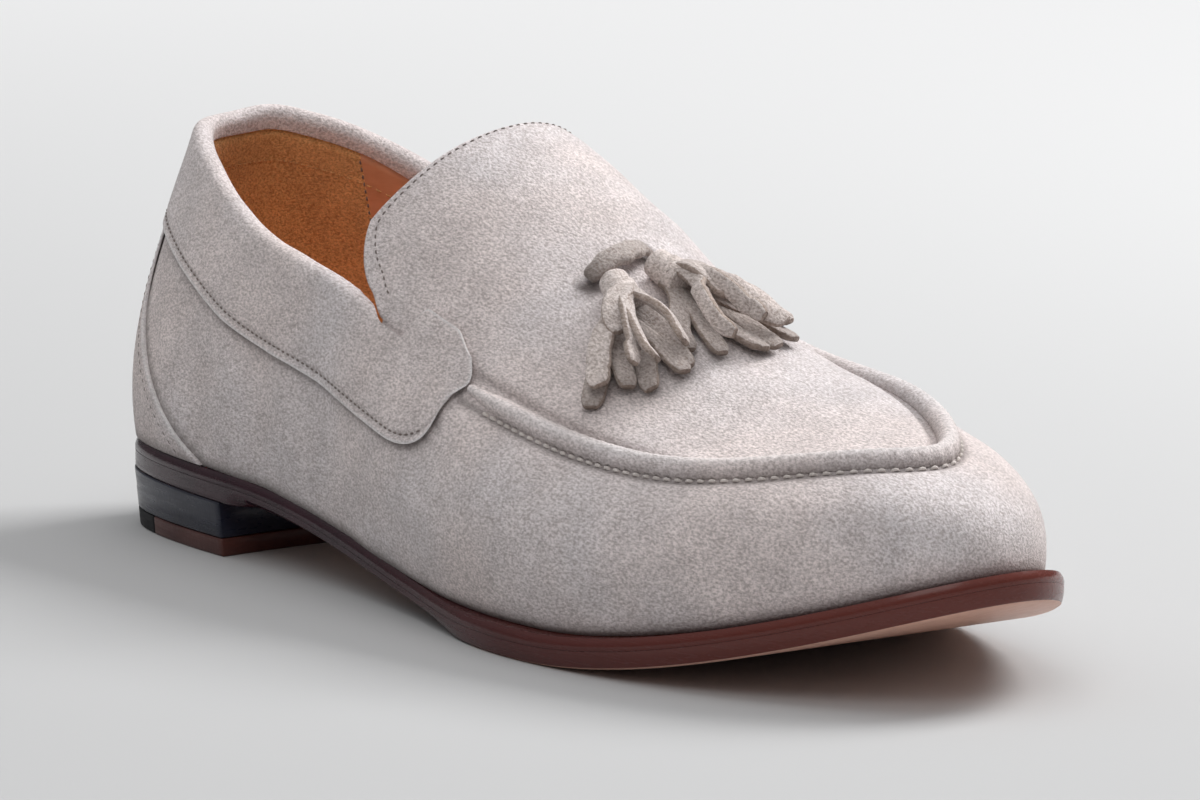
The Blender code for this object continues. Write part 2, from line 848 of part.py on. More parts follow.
def build_heel():
    def floor(x):
        return 0.0

    def top_piece(x):
        return TOP_PIECE_THICKNESS

    def block_low(x):
        return TOP_PIECE_THICKNESS + FIT_GAP

    def block_high(x):
        return under_height(x) - FIT_GAP

    def rubber_front(y):
        return RUBBER_END

    mid = HEEL_TAPER * (1 - TOP_PIECE_THICKNESS / HEEL_HEIGHT)
    heel_piece("heel_block", [(mid, block_low), (0.0, block_high)], HEEL_SKIN, breast_at)
    heel_piece("top_piece_rubber", [(HEEL_TAPER, floor), (mid, top_piece)], RUBBER_SKIN, rubber_front)
    heel_piece(
        "top_piece_leather",
        [(HEEL_TAPER, floor), (mid, top_piece)],
        RED_SKIN,
        breast_at,
        RUBBER_END + FIT_GAP,
    )


def skin_tree():
    """The outer face of the apron, for laying the tassels on."""
    points = []
    rows = TOE * APRON_FINE - int(THROAT * APRON_FINE)
    for i in range(rows):
        for k in range(APRON_FINE + 1):
            points.append(Vector(apron_point(THROAT + i / APRON_FINE, k / APRON_FINE)))
    return BVHTree.FromPolygons(points, grid_faces(APRON_FINE + 1, rows))


def on_apron(forward, inner, height):
    """A point over the apron: forward of the holes, towards the inner side, and off the surface."""
    start = Vector((TASSEL_PLACE + forward, TASSEL_SIDE + inner, LAST_LENGTH))
    place, normal, index, distance = SKIN_TREE.ray_cast(start, Vector((0, 0, -1)))
    if normal.z < 0:
        normal = -normal
    return place + normal * height, normal


def swept_solid(path, section):
    """Rings along (point, normal) pairs; section gives each half width, half thickness and roll."""
    rings = []
    for i, (point, normal) in enumerate(path):
        ahead = path[min(i + 1, len(path) - 1)][0]
        behind = path[max(i - 1, 0)][0]
        tangent = (ahead - behind).normalized()
        side = tangent.cross(normal).normalized()
        up = side.cross(tangent).normalized()
        half, thick, roll, corners = section(i / (len(path) - 1))
        wide = side * math.cos(roll) + up * math.sin(roll)
        deep = up * math.cos(roll) - side * math.sin(roll)
        ring = []
        for k in range(corners):
            a = 2 * math.pi * (k + 0.5) / corners
            c = math.cos(a)
            s = math.sin(a)
            if corners == 4:
                c = math.copysign(1, c)
                s = math.copysign(1, s)
            ring.append(point + wide * (half * c) + deep * (thick * s))
        rings.append(ring)
    return rings


def build_bow():
    """The strap of the bow, from one punched hole to the other."""
    path = []
    for k in range(BOW_RINGS + 1):
        share = 2 * k / BOW_RINGS - 1
        end = BOW_END + (1 - BOW_END) * math.cos(math.pi * share / 2) ** 0.5
        height = FIT_GAP * 1.5 + BOW_THICKNESS / 2 * end + BOW_ARCH * (1 - share * share)
        path.append(on_apron(-BOW_BACK * abs(share), share * HOLE_SPACING / 2, height))

    def section(u):
        taper = BOW_END + (1 - BOW_END) * math.sin(math.pi * u) ** 0.5
        return BOW_WIDTH / 2 * taper, BOW_THICKNESS / 2 * taper, 0.0, BOW_SIDES

    return closed_loft("tassel_bow", swept_solid(path, section), TASSEL_SKIN)


def build_tassel(name, side):
    """A wrapped head with its strips fused on; side is -1 on the outer side, 1 on the inner."""
    strips = OUTER_STRIPS if side < 0 else INNER_STRIPS
    heading = math.radians(OUTER_HEADING if side < 0 else INNER_HEADING)

    def plan(distance, angle, sideways=0.0):
        forward = HEAD_START + distance * math.cos(angle)
        inner = side * HEAD_SIDE - distance * math.sin(angle) + sideways
        return forward, inner

    path = []
    for k in range(HEAD_RINGS + 1):
        share = k / HEAD_RINGS
        radius = HEAD_BACK + (HEAD_FRONT - HEAD_BACK) * share
        path.append(on_apron(*plan(HEAD_LENGTH * share, heading), radius + HEAD_LIFT))

    def section(u):
        radius = HEAD_BACK + (HEAD_FRONT - HEAD_BACK) * u
        cap = HEAD_CAP if u in (0.0, 1.0) else 1.0
        return radius * cap, radius * cap, 0.0, HEAD_SIDES

    head = closed_loft(name, swept_solid(path, section), TASSEL_SKIN)
    points = []
    faces = []
    for strip in strips:
        angle = math.radians(strip.heading)
        spread = math.radians(strip.root)
        path = []
        for k in range(STRIP_RINGS + 1):
            share = k / STRIP_RINGS
            distance = STRIP_ROOT + (strip.length * STRIP_LENGTH - STRIP_ROOT) * share
            bend = heading + (angle - heading) * ease(share * STRIP_SPLAY)
            forward, inner = plan(distance, bend, HEAD_FRONT * math.sin(spread) * STRIP_SPREAD)
            root = HEAD_LIFT + HEAD_FRONT * (1 + STRIP_SPREAD * math.cos(spread))
            rest = STRIP_THICKNESS / 2 + FIT_GAP * 2 + strip.lift * STRIP_THICKNESS
            rest += abs(math.sin(math.radians(strip.roll))) * STRIP_WIDTH * strip.width / 2
            height = root + (rest - root) * ease(share * STRIP_FALL)
            path.append(on_apron(forward, inner, height))
        roll = math.radians(strip.roll)
        half = STRIP_WIDTH * strip.width / 2

        def section(u, half=half, roll=roll):
            end = STRIP_TIP if u == 1 else 1.0
            grown = ease(u * 2)
            wide = half * (STRIP_NECK + (1 - STRIP_NECK) * grown) * end
            return wide, STRIP_THICKNESS / 2, roll * grown, 4

        rings = swept_solid(path, section)
        base = len(points)
        for ring in rings:
            points.extend(ring)
        last = (len(rings) - 1) * 4
        for i in range(len(rings) - 1):
            for k in range(4):
                m = (k + 1) % 4
                a = base + i * 4
                faces.append((a + k, a + m, a + 4 + m, a + 4 + k))
        faces.append((base, base + 3, base + 2, base + 1))
        faces.append(tuple(base + last + k for k in range(4)))
    fringe = face_out(surface_object(name + "_strips", points, faces, TASSEL_SKIN))
    LOAFER.objects.unlink(fringe)
    CUTTERS.objects.link(fringe)
    fringe.hide_render = True
    fringe.display_type = "WIRE"
    fuse = head.modifiers.new("Strips", "BOOLEAN")
    fuse.operation = "UNION"
    fuse.solver = "EXACT"
    fuse.use_self = True
    fuse.object = fringe
    return head


def new_material(name, colour, roughness):
    material = bpy.data.materials.new(name)
    material.use_nodes = True
    shader = material.node_tree.nodes["Principled BSDF"]
    shader.inputs["Base Color"].default_value = (*colour, 1.0)
    shader.inputs["Roughness"].default_value = roughness
    shader.inputs["Metallic"].default_value = 0.0
    material.diffuse_color = (*colour, 1.0)
    return material


for old in list(bpy.data.objects):
    bpy.data.objects.remove(old, do_unlink=True)
LOAFER = bpy.data.collections.new("tassel_loafer")
bpy.context.scene.collection.children.link(LOAFER)
CUTTERS = bpy.data.collections.new("cutters")
bpy.context.scene.collection.children.link(CUTTERS)
SKIN_TREE = skin_tree()
SUEDE_SKIN = new_material("suede", SUEDE, 0.95)
LINING_SKIN = new_material("lining", LINING, 0.55)
EDGE_SKIN = new_material("edge", EDGE_BROWN, 0.30)
SOLE_SKIN = new_material("sole_leather", SOLE_TAN, 0.45)
HEEL_SKIN = new_material("heel", HEEL_NAVY, 0.35)
RED_SKIN = new_material("top_piece", TOP_PIECE_RED, 0.40)
RUBBER_SKIN = new_material("rubber", RUBBER_BLACK, 0.60)
TASSEL_SKIN = new_material("tassel_suede", SUEDE_DARK, 0.95)

build_upper()
build_tongue()
build_seam()
build_band()
build_counter()
build_insole()
build_midsole()
build_outsole()
build_heel()
build_bow()
build_tassel("tassel_outer", -1)
build_tassel("tassel_inner", 1)
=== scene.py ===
# %% [markdown]
# # A suede tassel loafer
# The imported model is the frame: every visible piece below is laid on the same last, with the
# same sizes, only with more points and with real surfaces. Lengths are metres, +X runs from heel
# to toe, +Y to the inner side of this right shoe, and the floor is z = 0.

# %% Load the frame
import math
from collections import namedtuple

import bmesh
import bpy
import numpy as np
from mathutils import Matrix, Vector, noise
from mathutils.bvhtree import BVHTree
from mathutils.kdtree import KDTree


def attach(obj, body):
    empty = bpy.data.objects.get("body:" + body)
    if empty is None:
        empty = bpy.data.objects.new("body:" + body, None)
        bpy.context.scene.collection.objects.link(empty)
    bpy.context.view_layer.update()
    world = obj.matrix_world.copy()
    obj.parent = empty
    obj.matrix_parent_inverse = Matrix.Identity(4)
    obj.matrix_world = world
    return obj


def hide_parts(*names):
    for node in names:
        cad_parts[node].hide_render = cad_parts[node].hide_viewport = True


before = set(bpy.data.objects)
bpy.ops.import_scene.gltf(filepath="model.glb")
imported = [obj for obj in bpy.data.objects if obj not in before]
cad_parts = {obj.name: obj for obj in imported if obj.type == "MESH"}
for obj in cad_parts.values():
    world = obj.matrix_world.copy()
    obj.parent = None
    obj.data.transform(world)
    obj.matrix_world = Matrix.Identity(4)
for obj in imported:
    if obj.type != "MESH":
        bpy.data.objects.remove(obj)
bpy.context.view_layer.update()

# %% [markdown]
# ## The last's sizes
# A shoe is designed on a last, the foot-shaped block it is stretched over. Keeping every size in
# one named place means that the seam, the band and the tassels all follow when one of them changes.

# %% Sizes of the last and of the leather
LAST_LENGTH = 0.2885
HEEL_BACK = 0.0322
BALL_WIDTH = 0.0940
HEEL_WIDTH = 0.0660
BACK_HEIGHT = 0.0725
INSTEP_HEIGHT = 0.0500
TOE_BOX_HEIGHT = 0.0400
HEEL_HEIGHT = 0.0140
HEEL_PITCH = 0.0015
TOE_SPRING = 0.0205
FLAT_START = 0.1400
FLAT_END = 0.1620
SPRING_POWER = 1.75
FALL_POWER = 0.90
OUTSOLE = 0.0038
MIDSOLE = 0.0022
FIT_GAP = 0.0003
FORE_MARGIN = 0.0042
WAIST_MARGIN = 0.0010
HEEL_MARGIN = 0.0014
RAND_END = 0.0300
RAND_FADE = 0.0160
FORE_START = 0.1050
FORE_FADE = 0.0500
LIP = 0.0030
WAIST_BEVEL = 0.0035
WALL = 0.0022
OVERLAY = 0.0012
STATIONS = 26
TOE = 13
THROAT = 6.0

Feather = namedtuple("Feather", "along width outer inner")
FEATHER_LINE = [
    Feather(0.000, HEEL_WIDTH, 0.000, 0.000),
    Feather(0.012, HEEL_WIDTH, 0.262, 0.250),
    Feather(0.042, HEEL_WIDTH, 0.418, 0.395),
    Feather(0.120, HEEL_WIDTH, 0.500, 0.470),
    Feather(0.225, HEEL_WIDTH, 0.522, 0.450),
    Feather(0.330, HEEL_WIDTH, 0.524, 0.400),
    Feather(0.440, BALL_WIDTH, 0.402, 0.335),
    Feather(0.550, BALL_WIDTH, 0.450, 0.455),
    Feather(0.650, BALL_WIDTH, 0.475, 0.515),
    Feather(0.750, BALL_WIDTH, 0.445, 0.495),
    Feather(0.840, BALL_WIDTH, 0.368, 0.425),
    Feather(0.918, BALL_WIDTH, 0.250, 0.325),
    Feather(0.972, BALL_WIDTH, 0.120, 0.205),
    Feather(0.995, BALL_WIDTH, -0.045, 0.045),
]
Top = namedtuple("Top", "outer_along inner_along outer inner height outer_rise inner_rise")
TOP_LINE = [
    Top(0.030, 0.030, 0.000, 0.000, BACK_HEIGHT, 0.975, 0.975),
    Top(0.038, 0.038, 0.100, 0.096, BACK_HEIGHT, 0.965, 0.990),
    Top(0.071, 0.071, 0.172, 0.165, BACK_HEIGHT, 0.920, 0.975),
    Top(0.135, 0.135, 0.240, 0.239, BACK_HEIGHT, 0.825, 0.920),
    Top(0.220, 0.220, 0.292, 0.298, BACK_HEIGHT, 0.720, 0.820),
    Top(0.315, 0.315, 0.325, 0.330, INSTEP_HEIGHT, 1.020, 1.190),
    Top(0.417, 0.417, 0.348, 0.362, INSTEP_HEIGHT, 0.990, 1.150),
    Top(0.519, 0.519, 0.360, 0.372, INSTEP_HEIGHT, 0.900, 1.090),
    Top(0.611, 0.611, 0.368, 0.367, INSTEP_HEIGHT, 0.800, 0.980),
    Top(0.699, 0.689, 0.356, 0.351, TOE_BOX_HEIGHT, 0.870, 1.120),
    Top(0.783, 0.769, 0.309, 0.309, TOE_BOX_HEIGHT, 0.735, 0.980),
    Top(0.851, 0.841, 0.213, 0.229, TOE_BOX_HEIGHT, 0.640, 0.790),
    Top(0.901, 0.896, 0.096, 0.133, TOE_BOX_HEIGHT, 0.565, 0.610),
    Top(0.918, 0.918, -0.037, 0.037, TOE_BOX_HEIGHT, 0.510, 0.510),
]
Rib = namedtuple("Rib", "flare lean fullness")
RIBS = [
    Rib(8, 18, 0.36),
    Rib(8, 18, 0.36),
    Rib(9, 18, 0.36),
    Rib(10, 16, 0.36),
    Rib(13, 13, 0.36),
    Rib(16, 10, 0.36),
    Rib(18, 18, 0.36),
    Rib(16, 34, 0.38),
    Rib(14, 46, 0.40),
    Rib(12, 55, 0.42),
    Rib(10, 62, 0.44),
    Rib(8, 68, 0.46),
    Rib(6, 72, 0.46),
    Rib(5, 72, 0.46),
]
Crown = namedtuple("Crown", "outer inner fullness")
CROWNS = [
    Crown(72, 84, 0.71),
    Crown(64, 76, 0.58),
    Crown(47, 58, 0.46),
    Crown(29, 42, 0.42),
    Crown(13, 27, 0.38),
    Crown(4, 16, 0.36),
    Crown(0, 8, 0.35),
    Crown(0, 0, 0.33),
]
print("last", LAST_LENGTH, "m long, outsole about", LAST_LENGTH + HEEL_MARGIN + FORE_MARGIN)

# %% [markdown]
# ## Curves of the last
# Two closed curves carry the whole shoe: the feather line, where upper meets sole, and the top
# line, which is the collar and then the apron's seam. A rib is a Bezier curve from one to the
# other. A closed cubic spline through one row of values for each station keeps both smooth.

# %% Closed splines, ribs and the apron's crown
def spline_bends(rows):
    n = len(rows)
    matrix = np.zeros((n, n))
    for i in range(n):
        matrix[i, i] = 4
        matrix[i, (i - 1) % n] = 1
        matrix[i, (i + 1) % n] = 1
    change = 6 * (np.roll(rows, -1, 0) - 2 * rows + np.roll(rows, 1, 0))
    return np.linalg.solve(matrix, change)


class Loop:
    def __init__(self, rows):
        self.rows = np.array(rows, float)
        self.bend = spline_bends(self.rows)

    def at(self, station):
        n = len(self.rows)
        i = math.floor(station) % n
        j = (i + 1) % n
        f = station - math.floor(station)
        g = 1 - f
        cubic = (g**3 - g) * self.bend[i] + (f**3 - f) * self.bend[j]
        return g * self.rows[i] + f * self.rows[j] + cubic / 6

    def outward(self, station):
        ahead = self.at(station + 0.02)
        behind = self.at(station - 0.02)
        run = Vector((ahead[0] - behind[0], ahead[1] - behind[1]))
        run.normalize()
        return np.array([run.y, -run.x, 0.0])


def unit(vector):
    return vector / np.linalg.norm(vector)


def ease(share):
    share = min(max(share, 0.0), 1.0)
    return share * share * (3 - 2 * share)


def both_sides(outer, inner):
    return outer + inner[-2:0:-1]


def along(share):
    return share * LAST_LENGTH - HEEL_BACK


def under_height(x):
    pitch = HEEL_PITCH / (RAND_END - along(0))
    if x < RAND_END:
        return HEEL_HEIGHT - pitch * (x - along(0))
    if x < FLAT_START:
        fall = ((x - RAND_END) / (FLAT_START - RAND_END)) ** FALL_POWER
        slope = pitch * (x - RAND_END) * (1 - fall) ** 2
        return (HEEL_HEIGHT - HEEL_PITCH) * (1 - ease(fall)) - slope
    if x < FLAT_END:
        return 0.0
    return TOE_SPRING * ((x - FLAT_END) / (along(1) - FLAT_END)) ** SPRING_POWER


def feather_height(x):
    return under_height(x) + OUTSOLE + MIDSOLE + 2 * FIT_GAP


def feather_rows(side):
    sign = -1 if side == "outer" else 1
    return [[along(r.along), sign * r.width * getattr(r, side)] for r in FEATHER_LINE]


def top_rows(side):
    sign = -1 if side == "outer" else 1
    rows = []
    for foot, top in zip(FEATHER_LINE, TOP_LINE):
        base = feather_height(along(foot.along))
        rise = top.height * getattr(top, side + "_rise")
        y = sign * BALL_WIDTH * getattr(top, side)
        rows.append([along(getattr(top, side + "_along")), y, base + rise])
    return rows


FEATHER = Loop(both_sides(feather_rows("outer"), feather_rows("inner")))
TOP = Loop(both_sides(top_rows("outer"), top_rows("inner")))
RIB = Loop(both_sides([list(r) for r in RIBS], [list(r) for r in RIBS]))
UP = np.array([0.0, 0.0, 1.0])


def bezier(points, t):
    s = 1 - t
    a, b, c, d = points
    return s**3 * a + 3 * s * s * t * b + 3 * s * t * t * c + t**3 * d


def foot_point(station):
    x, y = FEATHER.at(station)
    return np.array([x, y, feather_height(x)])


def wall_curve(station):
    low = foot_point(station)
    high = TOP.at(station)
    flare, lean, fullness = RIB.at(station)
    reach = fullness * np.linalg.norm(high - low)
    flare = math.radians(flare)
    lean = math.radians(lean)
    first = low + reach * (math.sin(flare) * FEATHER.outward(station) + math.cos(flare) * UP)
    second = high + reach * (math.sin(lean) * TOP.outward(station) - math.cos(lean) * UP)
    return low, first, second, high


def wall_point(station, t):
    return bezier(wall_curve(station), t)


def crown_at(station):
    place = min(max(station - THROAT, 0), len(CROWNS) - 1)
    i = min(int(place), len(CROWNS) - 2)
    f = place - i
    return np.array(CROWNS[i]) * (1 - f) + np.array(CROWNS[i + 1]) * f


def crown_curve(station):
    crown = crown_at(station)
    a = TOP.at(station)
    b = TOP.at(STATIONS - station)
    chord = b - a
    across = unit(chord)
    reach = crown[2] * np.linalg.norm(chord)
    outer = math.radians(crown[0])
    inner = math.radians(crown[1])
    first = a + reach * (math.cos(outer) * across + math.sin(outer) * UP)
    second = b + reach * (math.sin(inner) * UP - math.cos(inner) * across)
    return a, first, second, b


def apron_point(station, w):
    return bezier(crown_curve(station), w)


SQUARE_START = 7.0
SQUARE_FADE = 2.0


def skin(station, distance):
    """A point of the upper, a distance above the top line: negative on the wall, positive on the apron."""
    if distance <= 0:
        curve = wall_curve(station)
        speed = 3 * np.linalg.norm(curve[3] - curve[2])
        return bezier(curve, max(1 + distance / speed, 0.0))
    reach = min(station, STATIONS - station)
    if reach < THROAT - 1:
        low, first, second, high = wall_curve(station)
        return high + distance * unit(high - second)
    climb = math.radians(crown_at(reach)[0 if station < TOE else 1])
    near = TOP.at(station) + distance * (math.sin(climb) * UP - math.cos(climb) * TOP.outward(station))
    share = ease((reach - SQUARE_START) / SQUARE_FADE)
    if share == 1:
        return near
    curve = crown_curve(reach)
    if station > TOE:
        curve = curve[::-1]
    across = bezier(curve, distance / (3 * np.linalg.norm(curve[1] - curve[0])))
    return across * (1 - share) + near * share


def skin_normal(station, distance):
    ahead = skin(station + 0.02, distance) - skin(station - 0.02, distance)
    upward = skin(station, distance + 0.0003) - skin(station, distance - 0.0003)
    return unit(np.cross(ahead, upward))


def wall_normal(station, t):
    ahead = wall_point(station + 0.02, t) - wall_point(station - 0.02, t)
    upward = wall_point(station, min(t + 0.01, 1)) - wall_point(station, max(t - 0.01, 0))
    return unit(np.cross(ahead, upward))


print("toe tip of the feather line", foot_point(13.0).round(4))

# %% [markdown]
# ## Mesh helpers
# Small helpers keep the pieces short: one makes a smooth object, one lists the quads of a grid,
# and one turns a path and a section into a closed tube.

# %% Mesh helpers
def make_object(name, points, faces, materials, smooth=True):
    mesh = bpy.data.meshes.new(name)
    mesh.from_pydata([tuple(map(float, p)) for p in points], [], faces)
    for material in materials:
        mesh.materials.append(material)
    mesh.polygons.foreach_set("use_smooth", [smooth] * len(mesh.polygons))
    obj = bpy.data.objects.new(name, mesh)
    bpy.context.scene.collection.objects.link(obj)
    return obj


def grid_faces(rows, columns, wrap=False):
    faces = []
    for i in range(columns if wrap else columns - 1):
        j = (i + 1) % columns
        for k in range(rows - 1):
            faces.append((i * rows + k, j * rows + k, j * rows + k + 1, i * rows + k + 1))
    return faces


def close_out(obj):
    """Turn a closed mesh's faces outwards."""
    work = bmesh.new()
    work.from_mesh(obj.data)
    bmesh.ops.recalc_face_normals(work, faces=work.faces)
    if work.calc_volume(signed=True) < 0:
        bmesh.ops.reverse_faces(work, faces=work.faces)
    work.to_mesh(obj.data)
    work.free()
    return obj


def loft_data(rings):
    count = len(rings[0])
    points = [p for ring in rings for p in ring]
    faces = []
    for i in range(len(rings) - 1):
        for k in range(count):
            m = (k + 1) % count
            faces.append((i * count + k, i * count + m, (i + 1) * count + m, (i + 1) * count + k))
    faces.append(tuple(range(count)))
    last = (len(rings) - 1) * count
    faces.append(tuple(last + k for k in reversed(range(count))))
    return points, faces


def thicken(obj, thickness, offset=-1.0, lining=None):
    solid = obj.modifiers.new("Thickness", "SOLIDIFY")
    solid.thickness = thickness
    solid.offset = offset
    solid.use_even_offset = False
    solid.thickness_clamp = 1.0
    if lining is not None:
        solid.material_offset = lining
        solid.material_offset_rim = 0
    return obj


def bevel(obj, width, segments=2, angle=50):
    edge = obj.modifiers.new("Rounded edges", "BEVEL")
    edge.width = width
    edge.segments = segments
    edge.limit_method = "ANGLE"
    edge.angle_limit = math.radians(angle)
    edge.harden_normals = False
    return obj


def show(obj, slot, *nodes):
    """Put a piece on the shoe: it rides on the root body and stands for its CAD nodes."""
    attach(obj, "root")
    if nodes:
        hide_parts(*nodes)
    return obj


print("helpers ready")

# %% [markdown]
# ## Shader helpers and node groups
# Suede nap and leather grain show on several pieces, so each is a node group with named inputs
# and outputs. A group only makes colours and heights. Each material keeps its own Principled
# shader, where the fixed numbers such as sheen and coat sit on the sockets.

# %% Node helpers
def new_group(name, inputs, outputs):
    tree = bpy.data.node_groups.new(name, "ShaderNodeTree")
    for label, kind, value in inputs:
        socket = tree.interface.new_socket(label, in_out="INPUT", socket_type=kind)
        if value is not None:
            socket.default_value = value
    for label, kind in outputs:
        tree.interface.new_socket(label, in_out="OUTPUT", socket_type=kind)
    return tree, tree.nodes.new("NodeGroupInput"), tree.nodes.new("NodeGroupOutput")


def add(tree, kind, **settings):
    node = tree.nodes.new(kind)
    for key, value in settings.items():
        setattr(node, key, value)
    return node


def math_node(tree, operation, a, b=None, clamp=False):
    node = add(tree, "ShaderNodeMath", operation=operation, use_clamp=clamp)
    for i, value in enumerate((a, b)):
        if value is None:
            continue
        if isinstance(value, (int, float)):
            node.inputs[i].default_value = value
        else:
            tree.links.new(value, node.inputs[i])
    return node.outputs[0]


def noise_node(tree, vector, scale, detail=2.0, rough=0.5, distortion=0.0):
    node = add(tree, "ShaderNodeTexNoise")
    if isinstance(scale, (int, float)):
        node.inputs["Scale"].default_value = scale
    else:
        tree.links.new(scale, node.inputs["Scale"])
    node.inputs["Detail"].default_value = detail
    node.inputs["Roughness"].default_value = rough
    node.inputs["Distortion"].default_value = distortion
    tree.links.new(vector, node.inputs["Vector"])
    return node.outputs["Fac"]


def remap(tree, value, low, high, to_low=0.0, to_high=1.0, smooth=False):
    node = add(tree, "ShaderNodeMapRange", interpolation_type="SMOOTHSTEP" if smooth else "LINEAR")
    tree.links.new(value, node.inputs["Value"])
    node.inputs["From Min"].default_value = low
    node.inputs["From Max"].default_value = high
    node.inputs["To Min"].default_value = to_low
    node.inputs["To Max"].default_value = to_high
    return node.outputs["Result"]


def mix_colour(tree, factor, a, b, blend="MIX"):
    node = add(tree, "ShaderNodeMix", data_type="RGBA", blend_type=blend)
    for socket, value in ((node.inputs["Factor"], factor), (node.inputs[6], a), (node.inputs[7], b)):
        if isinstance(value, (int, float)):
            socket.default_value = value
        elif isinstance(value, tuple):
            socket.default_value = (*value, 1.0)
        else:
            tree.links.new(value, socket)
    return node.outputs[2]


def use(tree, group, **values):
    node = add(tree, "ShaderNodeGroup", node_tree=group)
    for key, value in values.items():
        socket = node.inputs[key.replace("_", " ")]
        if isinstance(value, tuple):
            socket.default_value = (*value, 1.0)
        elif isinstance(value, (int, float)):
            socket.default_value = value
        else:
            tree.links.new(value, socket)
    return node


print("node helpers ready")

# %% [markdown]
# ## Suede nap
# Suede is the split flesh side of a hide. Its short fibres lie in patches, so it shows three
# sizes of change: a pepper of single tufts, brushed streaks a few millimetres long, and broad
# warm and cool clouds. The group gives a colour and a height for the bump.

# %% Group: suede nap
def make_suede_group():
    tree, source, sink = new_group(
        "Suede nap",
        [
            ("Base Color", "NodeSocketColor", (0.5, 0.45, 0.4, 1)),
            ("Shade Color", "NodeSocketColor", (0.3, 0.26, 0.23, 1)),
            ("Cool Color", "NodeSocketColor", (0.5, 0.5, 0.5, 1)),
            ("Tuft Scale", "NodeSocketFloat", 1500.0),
            ("Contrast", "NodeSocketFloat", 0.5),
        ],
        [("Color", "NodeSocketColor"), ("Height", "NodeSocketFloat"), ("Roughness", "NodeSocketFloat")],
    )
    place = add(tree, "ShaderNodeTexCoord").outputs["Object"]
    stretch = add(tree, "ShaderNodeMapping")
    stretch.inputs["Scale"].default_value = (0.55, 1.0, 1.0)
    tree.links.new(place, stretch.inputs["Vector"])
    tuft = noise_node(tree, stretch.outputs["Vector"], source.outputs["Tuft Scale"], 3.0, 0.65)
    streak = noise_node(tree, stretch.outputs["Vector"], 640.0, 3.0, 0.6, 0.4)
    patch = noise_node(tree, place, 95.0, 3.0, 0.55, 0.3)
    cloud = noise_node(tree, place, 26.0, 2.0, 0.5)
    dark = remap(tree, tuft, 0.36, 0.56, 1.0, 0.0)
    dark = math_node(tree, "MULTIPLY", dark, source.outputs["Contrast"])
    soft = remap(tree, streak, 0.35, 0.68, 0.14, 0.0)
    dark = math_node(tree, "ADD", dark, soft, clamp=True)
    warm_share = remap(tree, cloud, 0.38, 0.64)
    colour = mix_colour(tree, warm_share, source.outputs["Base Color"], source.outputs["Cool Color"])
    colour = mix_colour(tree, dark, colour, source.outputs["Shade Color"])
    # Painted highlight: the highest tufts are made lighter in colour; the slow patches vary the tone at
    # random.
    tip_highlight = math_node(tree, "MULTIPLY", remap(tree, tuft, 0.54, 0.72), 0.22)
    patch_tone_and_tip_highlight = math_node(tree, "ADD", remap(tree, patch, 0.35, 0.70, 0.90, 1.06), tip_highlight)
    shaded = add(tree, "ShaderNodeHueSaturation")
    tree.links.new(patch_tone_and_tip_highlight, shaded.inputs["Value"])
    tree.links.new(colour, shaded.inputs["Color"])
    fine_part = math_node(tree, "MULTIPLY", tuft, 0.75)
    broad_part = math_node(tree, "MULTIPLY", streak, 0.35)
    height = math_node(tree, "ADD", fine_part, broad_part)
    tree.links.new(shaded.outputs["Color"], sink.inputs["Color"])
    tree.links.new(height, sink.inputs["Height"])
    tree.links.new(remap(tree, patch, 0.3, 0.7, 0.88, 1.0), sink.inputs["Roughness"])
    return tree


SUEDE_NAP = make_suede_group()
print("group", SUEDE_NAP.name)

# %% [markdown]
# ## Leather grain
# Smooth leather and burnished edges share a second group: a fine pebble from a Voronoi texture,
# drag marks from a noise that is stretched along the shoe, and slow clouds of a darker stain. The
# drag marks also change the roughness, so that a reflection breaks up along them.

# %% Group: leather grain
def make_leather_group():
    """Fine pebble, faint drag marks and dust for smooth leather and burnished edges."""
    tree, source, sink = new_group(
        "Leather grain",
        [
            ("Base Color", "NodeSocketColor", (0.5, 0.25, 0.1, 1)),
            ("Dark Color", "NodeSocketColor", (0.2, 0.1, 0.05, 1)),
            ("Grain Scale", "NodeSocketFloat", 900.0),
            ("Roughness", "NodeSocketFloat", 0.4),
        ],
        [("Color", "NodeSocketColor"), ("Height", "NodeSocketFloat"), ("Roughness", "NodeSocketFloat")],
    )
    place = add(tree, "ShaderNodeTexCoord").outputs["Object"]
    pebble = add(tree, "ShaderNodeTexVoronoi", feature="SMOOTH_F1")
    tree.links.new(place, pebble.inputs["Vector"])
    tree.links.new(source.outputs["Grain Scale"], pebble.inputs["Scale"])
    stretch = add(tree, "ShaderNodeMapping")
    stretch.inputs["Scale"].default_value = (0.12, 0.5, 1.6)
    tree.links.new(place, stretch.inputs["Vector"])
    drag = noise_node(tree, stretch.outputs["Vector"], 700.0, 4.0, 0.6)
    cloud = noise_node(tree, place, 60.0, 3.0, 0.55)
    stained = remap(tree, cloud, 0.35, 0.7, 0.0, 0.6)
    dragged = remap(tree, drag, 0.4, 0.75, 0.0, 0.4)
    tone = math_node(tree, "ADD", stained, dragged)
    colour = mix_colour(tree, tone, source.outputs["Base Color"], source.outputs["Dark Color"])
    pebble_part = math_node(tree, "MULTIPLY", pebble.outputs["Distance"], 0.5)
    drag_part = math_node(tree, "MULTIPLY", drag, 0.4)
    height = math_node(tree, "ADD", pebble_part, drag_part)
    rubbed = remap(tree, drag, 0.35, 0.75, -0.05, 0.12)
    rough = math_node(tree, "ADD", source.outputs["Roughness"], rubbed, clamp=True)
    tree.links.new(colour, sink.inputs["Color"])
    tree.links.new(height, sink.inputs["Height"])
    tree.links.new(rough, sink.inputs["Roughness"])
    return tree


LEATHER_GRAIN = make_leather_group()
print("groups", [g.name for g in bpy.data.node_groups])
